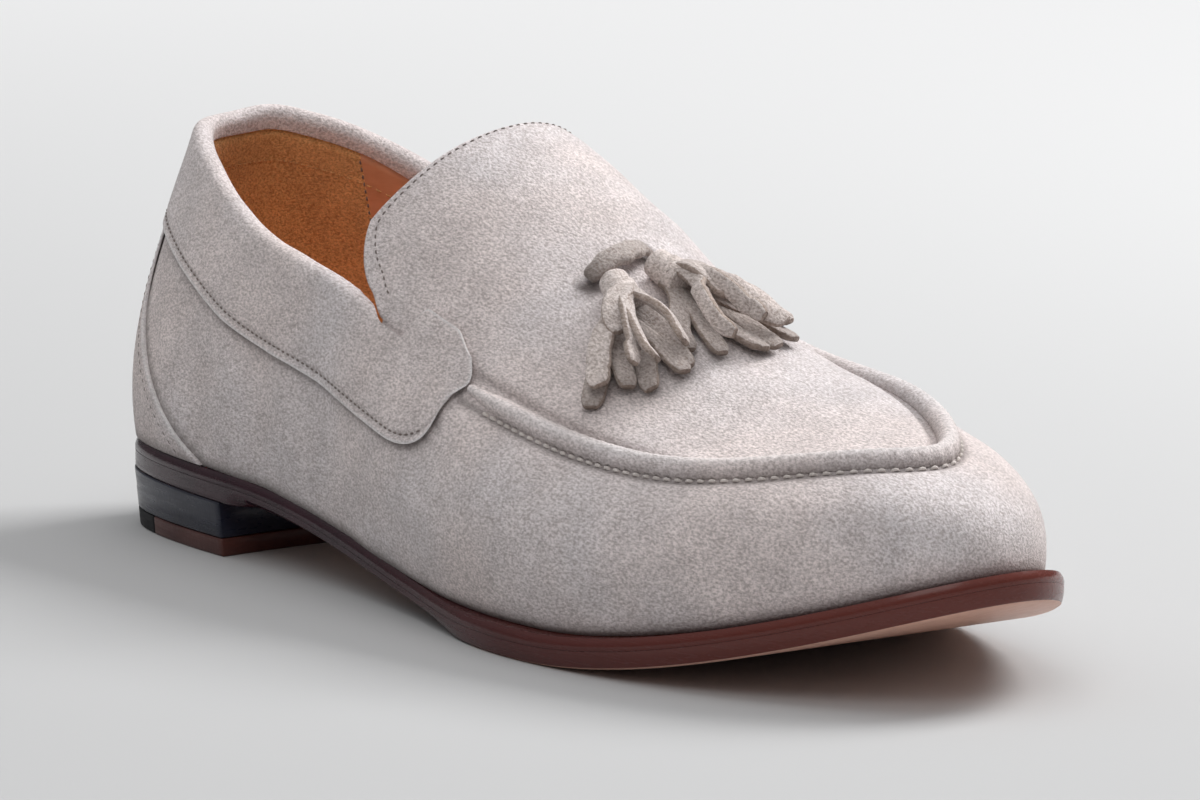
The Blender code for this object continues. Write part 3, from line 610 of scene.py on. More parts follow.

# %% [markdown]
# ## Materials
# The suede's colour is a light grey beige. The shade attribute, painted on the points by the
# code below, is painted shade: it darkens the nap beside seams, along the sole, in the holes,
# under edges and on the tassels, where shadow falls. A negative shade makes cut edges paler and
# paints a highlight on the seam's top. Sheen gives the soft bright rim of short fibres seen side on.

# %% Materials
def new_material(name, coat=0.0, sheen=0.0, sheen_tint=(1.0, 0.95, 0.9)):
    material = bpy.data.materials.new(name)
    material.use_nodes = True
    shader = material.node_tree.nodes["Principled BSDF"]
    shader.inputs["Coat Weight"].default_value = coat
    shader.inputs["Coat Roughness"].default_value = 0.12
    shader.inputs["Sheen Weight"].default_value = sheen
    shader.inputs["Sheen Roughness"].default_value = 0.45
    shader.inputs["Sheen Tint"].default_value = (*sheen_tint, 1.0)
    return material, material.node_tree, shader


def add_bump(tree, shader, height, distance, strength=1.0):
    bump = add(tree, "ShaderNodeBump")
    bump.inputs["Distance"].default_value = distance
    bump.inputs["Strength"].default_value = strength
    tree.links.new(height, bump.inputs["Height"])
    tree.links.new(bump.outputs["Normal"], shader.inputs["Normal"])


def suede_material(name, base, shade, cool, contrast=0.70, tuft=2000.0, bump=0.00050):
    material, tree, shader = new_material(name, sheen=0.30)
    nap = use(tree, SUEDE_NAP, Base_Color=base, Shade_Color=shade, Cool_Color=cool)
    nap.inputs["Contrast"].default_value = contrast
    nap.inputs["Tuft Scale"].default_value = tuft
    # The shade attribute is painted shade: positive values darken the nap toward a darker copy of the shade
    # colour, and negative values make it paler, for cut edges and painted highlights.
    mark = add(tree, "ShaderNodeAttribute", attribute_name="shade").outputs["Fac"]
    darker = tuple(c * 0.42 for c in shade)
    paler = tuple(min(c * 1.30, 0.90) for c in base)
    colour = mix_colour(tree, math_node(tree, "MULTIPLY", mark, 0.80, True), nap.outputs["Color"], darker)
    colour = mix_colour(tree, math_node(tree, "MULTIPLY", mark, -0.80, True), colour, paler)
    tree.links.new(colour, shader.inputs["Base Color"])
    tree.links.new(nap.outputs["Roughness"], shader.inputs["Roughness"])
    shader.inputs["Specular IOR Level"].default_value = 0.12
    add_bump(tree, shader, nap.outputs["Height"], bump)
    return material


def leather_material(name, base, dark, rough, coat=0.0, grain=900.0, bump=0.00008, blend=None):
    material, tree, shader = new_material(name, coat=coat)
    shader.inputs["Specular IOR Level"].default_value = 0.25
    grain_node = use(tree, LEATHER_GRAIN, Base_Color=base, Dark_Color=dark, Roughness=rough)
    grain_node.inputs["Grain Scale"].default_value = grain
    colour = grain_node.outputs["Color"]
    if blend is not None:
        start, end, other = blend
        place = add(tree, "ShaderNodeTexCoord").outputs["Object"]
        split = add(tree, "ShaderNodeSeparateXYZ")
        tree.links.new(place, split.inputs[0])
        colour = mix_colour(tree, remap(tree, split.outputs["X"], start, end, smooth=True), colour, other)
    tree.links.new(colour, shader.inputs["Base Color"])
    tree.links.new(grain_node.outputs["Roughness"], shader.inputs["Roughness"])
    add_bump(tree, shader, grain_node.outputs["Height"], bump)
    return material


SUEDE = suede_material("Suede", (0.850, 0.755, 0.735), (0.420, 0.355, 0.340), (0.800, 0.745, 0.750))
TASSEL_SUEDE = suede_material(
    "Tassel suede", (0.830, 0.735, 0.695), (0.360, 0.280, 0.240), (0.780, 0.705, 0.680)
)
CUT_EDGE = suede_material(
    "Cut suede edge", (0.560, 0.455, 0.400), (0.260, 0.190, 0.150), (0.520, 0.435, 0.390)
)
GRIP = suede_material("Heel grip suede", (0.860, 0.480, 0.200), (0.440, 0.190, 0.060), (0.760, 0.410, 0.170))
LINING = leather_material("Lining leather", (0.780, 0.370, 0.210), (0.620, 0.270, 0.140), 0.42, 0.12)
RED_BROWN = (0.130, 0.030, 0.022)
TURNS_RED = (0.06, 0.24, RED_BROWN)
EDGE = leather_material(
    "Burnished edge", (0.046, 0.015, 0.023), (0.018, 0.007, 0.012), 0.24, 0.18, 1400.0, 0.00004, TURNS_RED
)
SOLE = leather_material("Sole leather", (0.700, 0.420, 0.330), (0.560, 0.320, 0.240), 0.40, 0.05)
HEEL = leather_material(
    "Stained heel", (0.020, 0.022, 0.040), (0.010, 0.011, 0.020), 0.30, 0.18, 1400.0, 0.00005
)
TOP_RED = leather_material("Top piece leather", (0.110, 0.038, 0.030), (0.060, 0.020, 0.018), 0.36, 0.12)
RUBBER = leather_material(
    "Rubber", (0.014, 0.014, 0.015), (0.009, 0.009, 0.010), 0.62, 0.0, 1800.0, 0.00010
)
THREAD_NAP = {"contrast": 0.3, "tuft": 2600.0, "bump": 0.0001}
THREAD = suede_material(
    "Thread", (0.720, 0.660, 0.620), (0.480, 0.420, 0.380), (0.700, 0.650, 0.620), **THREAD_NAP
)
DARK_THREAD = suede_material(
    "Shaded thread", (0.240, 0.200, 0.180), (0.140, 0.112, 0.098), (0.230, 0.200, 0.185), **THREAD_NAP
)
print("materials", len(bpy.data.materials))

# %% [markdown]
# ## Marks and creases
# Leather that is pulled over a last never lies perfectly even. The main creases are listed here,
# in the shoe's own sizes, each as a soft trough along a line on the upper, with a low
# ridge beside it. A slow noise adds the last quarter of a millimetre of unevenness.

# %% Crease table
Crease = namedtuple("Crease", "x0 y0 z0 x1 y1 z1 width depth")
CREASES = [
    Crease(0.100, -0.046, 0.052, 0.128, -0.047, 0.034, 0.0085, 0.00120),
    Crease(0.112, -0.043, 0.058, 0.150, -0.049, 0.042, 0.0075, 0.00090),
    Crease(0.060, -0.036, 0.050, 0.080, -0.040, 0.026, 0.0100, 0.00100),
    Crease(0.036, -0.036, 0.052, 0.046, -0.036, 0.026, 0.0090, 0.00080),
    Crease(0.008, -0.034, 0.054, 0.020, -0.034, 0.028, 0.0080, 0.00070),
    Crease(0.100, 0.046, 0.056, 0.128, 0.048, 0.036, 0.0085, 0.00120),
    Crease(0.060, 0.033, 0.052, 0.078, 0.036, 0.028, 0.0100, 0.00100),
    Crease(0.150, -0.020, 0.062, 0.152, 0.022, 0.064, 0.0090, 0.00050),
    Crease(0.170, -0.022, 0.056, 0.173, 0.024, 0.060, 0.0080, 0.00040),
    Crease(0.104, -0.020, 0.080, 0.106, 0.020, 0.084, 0.0080, 0.00045),
]


def crease_depth(points):
    total = np.zeros(len(points))
    for c in CREASES:
        a = np.array([c.x0, c.y0, c.z0])
        b = np.array([c.x1, c.y1, c.z1])
        run = b - a
        f = np.clip((points - a) @ run / (run @ run), 0.0, 1.0)
        far = np.linalg.norm(points - (a + f[:, None] * run), axis=1)
        fade = np.sin(np.pi * np.clip(f, 0.08, 0.92)) ** 0.5
        u = far / c.width
        total += c.depth * fade * (np.exp(-u * u) - 0.45 * np.exp(-((u - 1.5) ** 2)))
    return total


def slow_noise(points, size, seed):
    return np.array([noise.noise(Vector(p / size) + Vector((seed, seed * 2, 0))) for p in points])


def settle(points, faces, amount=0.00022, seed=3, sunk=0.0):
    """Move points along their normals by the creases, a slow noise and a depth of their own."""
    mesh = bpy.data.meshes.new("settle")
    mesh.from_pydata([tuple(p) for p in points], [], faces)
    normals = np.zeros(len(points) * 3, np.float32)
    mesh.vertex_normals.foreach_get("vector", normals)
    bpy.data.meshes.remove(mesh)
    normals = normals.reshape(-1, 3).astype(float)
    shift = amount * slow_noise(points, 0.012, seed) - crease_depth(points) - sunk
    return points + normals * shift[:, None]


def nearest(points, line):
    """Each point's distance to the nearest point of a line."""
    tree = KDTree(len(line))
    for i, p in enumerate(line):
        tree.insert(Vector(p), i)
    tree.balance()
    return np.array([tree.find(Vector(p))[2] for p in points])


def bell(distance, middle, width):
    return np.exp(-(((distance - middle) / width) ** 2))


def paint(obj, values):
    layer = obj.data.attributes.new("shade", "FLOAT", "POINT")
    layer.data.foreach_set("value", np.asarray(values, np.float32))


print("creases", len(CREASES))

# %% [markdown]
# ## Lines on the upper
# Three edges lie on the upper: the apron's seam, the collar band's lower edge and the counter's
# front edge. They come first, because the upper sinks a little and gets painted shade beside each
# of them, and the seam, band and counter are built from the same lines further on.

# %% Seam, band and counter lines
SEAM_WIDTH = 0.0050
SEAM_START = 7.24
LINE_POINTS = 700
BAND_DEPTH = 0.0215
TAB_START = 6.34
TAB_SPAN = 0.715
TAB_CUT = 0.82
TAB_END = 7.05
TAB_REACH = 0.20
COUNTER_TOP = 1.45
COUNTER_FOOT = 3.50
COUNTER_CURVE = 1.4
COUNTER_LIFT = 0.0003


def counter_spot(side, share, lift):
    """A point of the counter and its normal: side runs from -1 to 1, share from the sole up."""
    s = (side * (COUNTER_TOP + (COUNTER_FOOT - COUNTER_TOP) * (1 - share) ** COUNTER_CURVE)) % STATIONS
    low, first, second, high = wall_curve(s)
    t_top = 1 - (BAND_DEPTH - 0.0008) / (3 * np.linalg.norm(high - second))
    t_low = COUNTER_LIFT / (3 * np.linalg.norm(first - low))
    t = t_low + (t_top - t_low) * share
    n = wall_normal(s, t)
    return bezier((low, first, second, high), t) + n * lift, n


def counter_line():
    """Both front edges of the counter, as points on the upper."""
    return [counter_spot(side, share, 0)[0] for side in (-1, 1) for share in np.linspace(0, 1, 150)]


def seam_line():
    return [skin(s, 0) for s in np.linspace(SEAM_START, STATIONS - SEAM_START, LINE_POINTS)]


def band_depth(s):
    """The band's depth: its lower edge turns up into the tab like a quarter of an ellipse."""
    share = min(max((abs(s) - TAB_START) / TAB_SPAN, 0.0), 1.0)
    return BAND_DEPTH * (1 - TAB_CUT * (1 - math.sqrt(1 - share**2.2)))


def reached(s, d):
    """The station of a tab's point: near the top line the tab reaches further forward."""
    further = TAB_REACH * ease((abs(s) - 6.4) / (TAB_END - 6.4)) * bell(d, 0.0015, 0.0050)
    return (s + math.copysign(further, s)) % STATIONS


def band_line():
    stations = np.linspace(-TAB_END, TAB_END, LINE_POINTS)
    return [skin(reached(s, -band_depth(s)), -band_depth(s)) for s in stations]


print("the band's lower edge is", round(band_line()[LINE_POINTS // 2][2], 4), "m high at the heel")

# %% [markdown]
# ## The upper
# Wall, apron and tongue are one sheet of suede over the last. The wall's ribs run round the shoe;
# the apron's rows run from seam to seam and carry on behind the throat as the tongue. Solidify
# gives the leather its thickness, and its inner face takes the lining's material.

# %% Upper, apron and tongue
FINE = 9
WALL_ROWS = 49
WALL_CROWD = 1.3
EDGE_COLUMNS = 2
MIDDLE_COLUMNS = 60
TONGUE_LENGTH = 0.0040
TONGUE_TILT = 0.60
TONGUE_SLOPE = 0.28
TONGUE_INSET = 0.0042
TONGUE_NARROWS = 0.30
TONGUE_ROWS = 24
TONGUE_STRAIGHT = 0.10
TONGUE_ROUND = 0.10
TONGUE_BOW = 0.15
TASSEL_PLACE = 0.1335
TASSEL_SIDE = -0.0025
HOLE_SPACING = 0.0150
HOLE_RADIUS = 0.0026
HOLE_DEPTH = 0.0012
FOOT_DARK = 0.0019
GROOVE_BESIDE = 0.0007
GROOVE_WIDTH = 0.0010
GROOVE_WALL = 0.0005
GROOVE_APRON = 0.0010
BAND_DARK = 0.0011
COUNTER_DARK = 0.0012


def tongue_point(back, w):
    """A point of the tongue: back runs from 0 at the throat to 1 at its end, w from side to side."""
    p = apron_point(THROAT, w)
    drop = apron_point(THROAT, 0.5)[2] - p[2]
    lean = (TONGUE_LENGTH + TONGUE_TILT * max(drop, 0.0)) * back
    return p + np.array([-lean, 0.0, TONGUE_SLOPE * lean])


def crowd(u):
    """Shares from side to side, closer together at both sides."""
    return u - 0.10 * math.sin(2 * math.pi * u)


def tongue_edge(back):
    """The share of the crown's width that the tongue leaves free at each side."""
    speed = crown_curve(THROAT)
    inset = TONGUE_INSET / (3 * np.linalg.norm(speed[1] - speed[0]))
    inset = inset * (0.25 + 0.75 * ease(back / TONGUE_NARROWS))
    return inset + TONGUE_ROUND * max(back - TONGUE_STRAIGHT, 0) ** 2 / (1 - TONGUE_STRAIGHT) ** 2


def build_upper():
    rings = STATIONS * FINE
    points = []
    shade = []
    for i in range(rings):
        curve = wall_curve(i / FINE)
        length = 3 * np.linalg.norm(curve[1] - curve[0])
        for k in range(WALL_ROWS):
            t = 1 - (1 - k / (WALL_ROWS - 1)) ** WALL_CROWD
            points.append(bezier(curve, t))
            # Painted shade: a dark line along the foot of the wall, where it meets the sole.
            shade.append(bell(t * length, 0.0, FOOT_DARK))
    faces = grid_faces(WALL_ROWS, rings, wrap=True)

    def rim(step):
        return (step % rings) * WALL_ROWS + WALL_ROWS - 1

    first = int(THROAT * FINE)
    tip = TOE * FINE
    inset = tongue_edge(0)
    shares = [inset * k / EDGE_COLUMNS for k in range(EDGE_COLUMNS)]
    shares += [inset + (1 - 2 * inset) * crowd(k / MIDDLE_COLUMNS) for k in range(MIDDLE_COLUMNS + 1)]
    shares += [1 - inset * k / EDGE_COLUMNS for k in reversed(range(EDGE_COLUMNS))]
    rows = []
    for step in range(first, tip):
        row = [rim(step)]
        curve = crown_curve(step / FINE)
        for w in shares[1:-1]:
            row.append(len(points))
            points.append(bezier(curve, w))
            shade.append(0.0)
        row.append(rim(rings - step))
        rows.append(row)
    for a, b in zip(rows, rows[1:]):
        for k in range(len(shares) - 1):
            faces.append((a[k], b[k], b[k + 1], a[k + 1]))
    last = rows[-1]
    for k in range(len(shares) - 1):
        faces.append((last[k], rim(tip), last[k + 1]))
    ahead = rows[0][EDGE_COLUMNS : EDGE_COLUMNS + MIDDLE_COLUMNS + 1]
    for i in range(1, TONGUE_ROWS + 1):
        back = i / TONGUE_ROWS
        edge = tongue_edge(back)
        row = []
        for k in range(MIDDLE_COLUMNS + 1):
            u = crowd(k / MIDDLE_COLUMNS)
            bow = TONGUE_BOW * math.sin(math.pi * u)
            row.append(len(points))
            points.append(tongue_point(back * (1 - TONGUE_BOW + bow), edge + (1 - 2 * edge) * u))
            shade.append(-0.5 if i == TONGUE_ROWS or k in (0, MIDDLE_COLUMNS) else 0.0)
        for k in range(MIDDLE_COLUMNS):
            faces.append((row[k], ahead[k], ahead[k + 1], row[k + 1]))
        ahead = row
    points = np.array(points)
    on_wall = np.arange(len(points)) < rings * WALL_ROWS
    # Painted shade beside the seam, under the band's lower edge and in front of the counter's edge; beside
    # the seam the points also sink into a groove.
    beside_seam = bell(nearest(points, seam_line()), SEAM_WIDTH / 2 + GROOVE_BESIDE, GROOVE_WIDTH)
    under_band = bell(nearest(points, band_line()), 0.0, BAND_DARK)
    points = settle(points, faces, sunk=np.where(on_wall, GROOVE_WALL, GROOVE_APRON) * beside_seam)
    shade = np.maximum(shade, np.where(on_wall, 0.80, 0.40) * beside_seam)
    shade = np.maximum(shade, 0.9 * under_band)
    shade = np.maximum(shade, bell(nearest(points, counter_line()), COUNTER_DARK / 2, COUNTER_DARK))
    for side in (-1, 1):
        hole = np.array([TASSEL_PLACE, TASSEL_SIDE + side * HOLE_SPACING / 2])
        near = np.linalg.norm(points[:, :2] - hole, axis=1)
        # Painted shade: the punched holes are not cut through, so their dark inside is painted.
        dark = np.clip((HOLE_RADIUS * 1.4 - near) / (HOLE_RADIUS * 0.6), 0, 1) * 1.3
        sunk = np.clip(1 - near / HOLE_RADIUS, 0, 1) * HOLE_DEPTH
        high = points[:, 2] > INSTEP_HEIGHT * 1.2
        shade = np.maximum(shade, np.where(high, dark, 0))
        points[:, 2] -= np.where(high, sunk, 0)
    obj = make_object("suede_upper", points, faces, [SUEDE, LINING])
    paint(obj, shade)
    thicken(obj, WALL, lining=1)
    return show(obj, "suede", "upper", "tongue")


upper = build_upper()
print("upper", len(upper.data.vertices), "points")

# %% [markdown]
# ## The apron seam
# The wall is pinched up and stitched to the apron, which leaves a soft roll. Its section is half
# an ellipse whose height dips a little at each stitch, so it looks gathered and not extruded.

# %% Seam roll
SEAM_HEIGHT = 0.0031
SEAM_TIP = 0.60
SEAM_FADE = 0.6
SEAM_SUNK = 0.0003
STITCH_PITCH = 0.0028


def arc_table(function, start, end, step=0.02):
    """Distances along a curve of stations, for even stitches."""
    stations = np.linspace(start, end, int((end - start) / step) + 1)
    spots = [function(s) for s in stations]
    run = [0.0]
    for a, b in zip(spots, spots[1:]):
        run.append(run[-1] + float(np.linalg.norm(b - a)))
    return stations, np.array(run)


def build_seam():
    """The roll: rings along the top line, each half an ellipse on a shallow underside."""
    stations, run = arc_table(lambda s: skin(s, 0), SEAM_START, STATIONS - SEAM_START)
    sides = 16
    rings = []
    count = 620
    for i in range(count + 1):
        d = run[-1] * i / count
        s = float(np.interp(d, run, stations))
        reach = min(s - SEAM_START, STATIONS - SEAM_START - s)
        swell = SEAM_TIP + (1 - SEAM_TIP) * ease(reach / SEAM_FADE)
        gather = 0.5 + 0.5 * math.cos(2 * math.pi * d / STITCH_PITCH)
        wander = noise.noise(Vector((d * 90, 0, 5)))
        half = SEAM_WIDTH / 2 * swell * (1 + 0.05 * wander)
        over = skin_normal(s, 0)
        across = unit(skin(s, half) - skin(s, -half))
        centre = skin(s, 0) - over * SEAM_SUNK
        ring = []
        for k in range(sides):
            a = 2 * math.pi * k / sides
            rise = math.sin(a)
            side = math.cos(a)
            pinch = 1 - 0.10 * gather * (0.3 + 0.7 * max(-side, 0))
            lift = 2 * SEAM_SUNK * rise
            if rise > 0:
                lift = (SEAM_HEIGHT + SEAM_SUNK) * swell * rise * pinch
            ring.append(centre + across * half * side * pinch + over * lift)
        rings.append(ring)
    points, faces = loft_data(rings)
    obj = close_out(make_object("seam_roll", points, faces, [SUEDE]))
    # Painted shade on the roll's underside and sides, and a painted highlight on its top.
    tone = []
    for k in range(len(points)):
        a = 2 * math.pi * (k % sides) / sides
        dark = 0.55 * max(0.0, -math.sin(a)) + 0.55 * abs(math.cos(a)) ** 6
        tone.append(dark - 0.25 * max(0.0, math.sin(a)) ** 4)
    paint(obj, tone)
    return show(obj, "suede", "apron_seam")


seam = build_seam()
print("seam", len(seam.data.vertices), "points")

# %% [markdown]
# ## Stitches
# A stitch is a short rounded piece of thread, thinner and lower at its ends, where it goes into
# the leather. Its places are first worked out on the last, and then brought to the nearest point
# of the finished surface, so that no stitch floats over a crease or drowns in it.

# %% Stitches of the seam and the tongue
def surface_tree(obj):
    mesh = obj.data
    return BVHTree.FromPolygons([v.co for v in mesh.vertices], [tuple(p.vertices) for p in mesh.polygons])


def lay_on(tree, spots, height):
    """Bring (point, normal) spots down to a surface, a little height above it."""
    laid = []
    for point, normal in spots:
        place, facing = tree.find_nearest(Vector(point))[:2]
        facing = np.array(facing)
        if facing @ np.array(normal) < 0:
            facing = -facing
        laid.append((np.array(place) + facing * height, facing))
    return laid


def evenly(function, start, end, pitch, step=0.02):
    """Stations along a curve, about one pitch apart."""
    stations, run = arc_table(function, start, end, step)
    count = int(run[-1] / pitch)
    return [float(np.interp(run[-1] * i / count, run, stations)) for i in range(count + 1)]


def stitch_row(name, spots, material, radius, length_share, sides=6):
    """Thread: short rounded stitches between successive (point, normal) spots."""
    points = []
    faces = []
    for (a, na), (b, nb) in zip(spots, spots[1:]):
        a = np.array(a)
        b = np.array(b)
        run = b - a
        normal = unit(np.array(na) + np.array(nb))
        run_unit = unit(run)
        side = unit(np.cross(run_unit, normal))
        middle = (a + b) / 2
        rings = []
        for u in (-1.0, -0.7, 0.0, 0.7, 1.0):
            thick = {1.0: 0.30, 0.7: 0.85, 0.0: 1.0}[abs(u)]
            sag = {1.0: -0.9, 0.7: -0.15, 0.0: 0.25}[abs(u)]
            c = middle + run * (u * length_share / 2) + normal * (radius * sag)
            ring = []
            for k in range(sides):
                angle = 2 * math.pi * k / sides
                sideways = side * (radius * thick * math.cos(angle))
                ring.append(c + sideways + normal * (radius * thick * math.sin(angle)))
            rings.append(ring)
        p, f = loft_data(rings)
        base = len(points)
        points.extend(p)
        faces.extend([tuple(base + i for i in face) for face in f])
    obj = close_out(make_object(name, points, faces, [material]))
    return show(obj, "suede")


SEAM_THREAD = 0.00042
FINE_THREAD = 0.00022
THREAD_SHARE = 0.60
SEAM_STITCH_OUT = 0.0005
SEAM_STITCH_START = SEAM_START + 0.25
TONGUE_PITCH = 0.0019
TONGUE_STITCH_INSET = 0.0030
TONGUE_STITCH_START = 0.02
TONGUE_STITCH_TURN = 0.80


def seam_stitches():
    below = -(SEAM_WIDTH / 2 + SEAM_STITCH_OUT)
    ends = (SEAM_STITCH_START, STATIONS - SEAM_STITCH_START)
    spots = []
    for s in evenly(lambda s: skin(s, below), *ends, STITCH_PITCH):
        spots.append((skin(s, below), skin_normal(s, below)))
    return stitch_row("seam_stitches", lay_on(UPPER_TREE, spots, 0.00025), THREAD, SEAM_THREAD, 0.66)


def tongue_stitches():
    """Fine stitches that follow the tongue's edge, a distance inside it."""
    wide = float(np.linalg.norm(tongue_point(0.5, 0.8) - tongue_point(0.5, 0.2))) / 0.6
    turn = TONGUE_STITCH_TURN
    outline = []
    for k in range(41):
        back = TONGUE_STITCH_START + (turn - TONGUE_STITCH_START) * k / 40
        outline.append((back, tongue_edge(back) + TONGUE_STITCH_INSET / wide))
    corner = outline[-1]
    outline += [(turn + 0.06 * k / 6, corner[1] + 0.030 * (k / 6) ** 2) for k in range(1, 7)]
    side = outline[-1]
    outline += [(side[0], side[1] + (0.5 - side[1]) * k / 30) for k in range(1, 31)]
    outline += [(back, 1 - w) for back, w in reversed(outline[:-1])]
    line = []
    for back, w in outline:
        edge = tongue_edge(back)
        bow = TONGUE_BOW * math.sin(math.pi * (w - edge) / (1 - 2 * edge))
        line.append(tongue_point(back * (1 - TONGUE_BOW + bow), w))
    spots = []
    for s in evenly(lambda s: line[int(s)], 0, len(line) - 1, TONGUE_PITCH, 1.0):
        a = min(int(s), len(line) - 2)
        spots.append((line[a] + (line[a + 1] - line[a]) * (s - a), UP))
    laid = lay_on(UPPER_TREE, spots, 0.00005)
    return stitch_row("tongue_stitches", laid, DARK_THREAD, FINE_THREAD, THREAD_SHARE, 5)


UPPER_TREE = surface_tree(upper)
seam_thread = seam_stitches()
tongue_thread = tongue_stitches()
print("stitches", len(seam_thread.data.vertices) // 30, len(tongue_thread.data.vertices) // 25)

# %% [markdown]
# ## The collar band
# A strip of suede covers the collar: flat on the wall, rolled over its edge, and down inside. At
# each end it narrows to a tab that laps over the apron. Three lengths shape it: its depth, the
# roll's radius, and the tab's lap. A column of points runs across it at every station.

# %% Collar band
BAND_OUTSIDE = OVERLAY + 0.00015
LOW_ROWS = 20
ROLL_ROWS = 14
TAB_COLUMNS = 44
ROLL_DEPTH = 0.0024
TAB_BACK = 6.30
TAB_CORNER = 0.20
TAB_LAP = 0.0090
TAB_FRONT = 0.60
ROLL_FADE_START = 5.0
ROLL_FADE_END = 5.75
ROLL_OPEN = 0.55
LAY_END = 6.05
LOW_CROWD = 1.6
EDGE_TONE = 0.0006
STITCH_INSET = 0.0022
STITCH_DENT = 0.00022
BAND_STITCH_END = 6.85
BAND_PITCH = 0.0021


def band_top(s):
    """How far the tab laps over the apron at a station."""
    reach = abs(s)
    rise = ease((reach - TAB_BACK) / TAB_CORNER)
    fall = ease((TAB_END - reach) / TAB_CORNER)
    return TAB_LAP * (TAB_FRONT + (1 - TAB_FRONT) * fall) * rise


def laid_out(s, d):
    """A point of the band's outside that lies flat on the upper."""
    at = reached(s, d)
    return skin(at, d) + skin_normal(at, d) * BAND_OUTSIDE


def band_column(s):
    """Points from the band's lower edge up the wall, then round the roll or out on the tab."""
    place = s % STATIONS
    roll = 1 - ease((abs(s) - ROLL_FADE_START) / (ROLL_FADE_END - ROLL_FADE_START))
    radius = WALL / 2 + BAND_OUTSIDE
    column = [laid_out(s, -band_depth(s) * (1 - (k / LOW_ROWS) ** LOW_CROWD)) for k in range(LOW_ROWS + 1)]
    out = skin_normal(place, -OVERLAY)
    rise = unit(skin(place, 0) - skin(place, -OVERLAY))
    centre = skin(place, 0) - out * (WALL / 2) + rise * FIT_GAP
    arc = math.pi * (1 - ROLL_OPEN * (1 - roll))
    length = arc * radius + ROLL_DEPTH * roll
    lay = ease((abs(s) - ROLL_FADE_END) / (LAY_END - ROLL_FADE_END))
    for k in range(1, ROLL_ROWS + 1):
        turn = min(length * k / ROLL_ROWS / radius, arc)
        run = max(length * k / ROLL_ROWS - arc * radius, 0.0)
        straight = rise * math.cos(turn) - out * math.sin(turn)
        rolled = centre + (out * math.cos(turn) + rise * math.sin(turn)) * radius + straight * run
        if lay > 0:
            laid = laid_out(s, (band_top(s) + FIT_GAP * 2) * k / ROLL_ROWS)
            rolled = rolled * (1 - lay) + laid * lay
        column.append(rolled)
    return column


def build_band():
    side = [k / 8 for k in range(1, int(ROLL_FADE_END * 8) + 1)]
    for k in range(1, TAB_COLUMNS + 1):
        share = math.sin(math.pi / 2 * k / TAB_COLUMNS)
        side.append(ROLL_FADE_END + (TAB_END - ROLL_FADE_END) * share)
    stations = [-s for s in reversed(side)] + [0.0] + side
    columns = [band_column(s) for s in stations]
    rows = len(columns[0])
    points = np.array([p for c in columns for p in c])
    faces = grid_faces(rows, len(columns))
    depths = []
    tone = []
    for s in stations:
        for k in range(rows):
            above = band_depth(s) * min(k / LOW_ROWS, 1.0) ** LOW_CROWD
            # Painted shade along the dent of the stitch line; the lower edge and the tab tips are paler, as
            # cut edges.
            row = bell(above, STITCH_INSET, EDGE_TONE)
            tip = max(bell(abs(s), TAB_END, 0.03), bell(k, rows - 1, 0.4) if abs(s) > LAY_END else 0.0)
            depths.append(STITCH_DENT * row)
            tone.append(0.40 * row - 0.6 * max(bell(above, 0.0, EDGE_TONE), tip))
    points = settle(points, faces, 0.00030, 9, np.array(depths))
    obj = make_object("collar_suede", points, faces, [SUEDE])
    paint(obj, tone)
    thicken(obj, OVERLAY)
    bevel(obj, 0.00035)
    return show(obj, "suede", "collar_band")


band = build_band()


def band_spot(s, inset):
    """A stitch's place, a distance above the band's lower edge."""
    d = -band_depth(s) + inset
    place = reached(s, d)
    n = skin_normal(place, d)
    return skin(place, d) + n * (OVERLAY + 0.00022), n


def band_stitches():
    ends = (-BAND_STITCH_END, BAND_STITCH_END)
    stations = evenly(lambda s: band_spot(s, STITCH_INSET)[0], *ends, BAND_PITCH, 0.05)
    spots = [band_spot(s, STITCH_INSET) for s in stations]
    laid = lay_on(surface_tree(band), spots, 0.00008)
    return stitch_row("band_stitches", laid, DARK_THREAD, FINE_THREAD, THREAD_SHARE, 5)


band_thread = band_stitches()
print("band", len(band.data.vertices), "points, stitches", len(band_thread.data.vertices) // 25)

# %% [markdown]
# ## The heel counter
# A second layer of suede stiffens the heel. Its front edge sweeps from under the band down to
# the sole, with a pale cut edge, a dark line of painted shade in front of it and fine stitches just behind
# it.

# %% Heel counter
COUNTER_OUTSIDE = OVERLAY * 0.75
COUNTER_COLUMNS = 60
COUNTER_ROWS = 30
COUNTER_STITCHES = 28
COUNTER_THREAD = 0.00017


def build_counter():
    points = []
    tone = []
    for i in range(COUNTER_COLUMNS + 1):
        side = 2 * i / COUNTER_COLUMNS - 1
        side = math.copysign(abs(side) ** 0.8, side)
        for k in range(COUNTER_ROWS + 1):
            share = k / COUNTER_ROWS
            points.append(counter_spot(side, share, COUNTER_OUTSIDE)[0])
            # Painted shade at the counter's foot by the sole; its front edges are paler, as cut edges.
            tone.append(0.9 * bell(share, 0.0, 0.04) - 0.5 * bell(abs(side), 1.0, 0.022))
    faces = grid_faces(COUNTER_ROWS + 1, COUNTER_COLUMNS + 1)
    obj = make_object("counter_suede", points, faces, [SUEDE])
    paint(obj, tone)
    thicken(obj, OVERLAY)
    bevel(obj, 0.0003)
    return show(obj, "suede", "heel_counter")


counter = build_counter()
for side, side_name in ((-1, "inner"), (1, "outer")):
    shares = [0.02 + 0.96 * k / COUNTER_STITCHES for k in range(COUNTER_STITCHES + 1)]
    spots = [counter_spot(side * 0.92, share, COUNTER_OUTSIDE - 0.00004) for share in shares]
    stitch_row("counter_stitches_" + side_name, spots, DARK_THREAD, COUNTER_THREAD, THREAD_SHARE, 5)
print("counter", len(counter.data.vertices), "points")

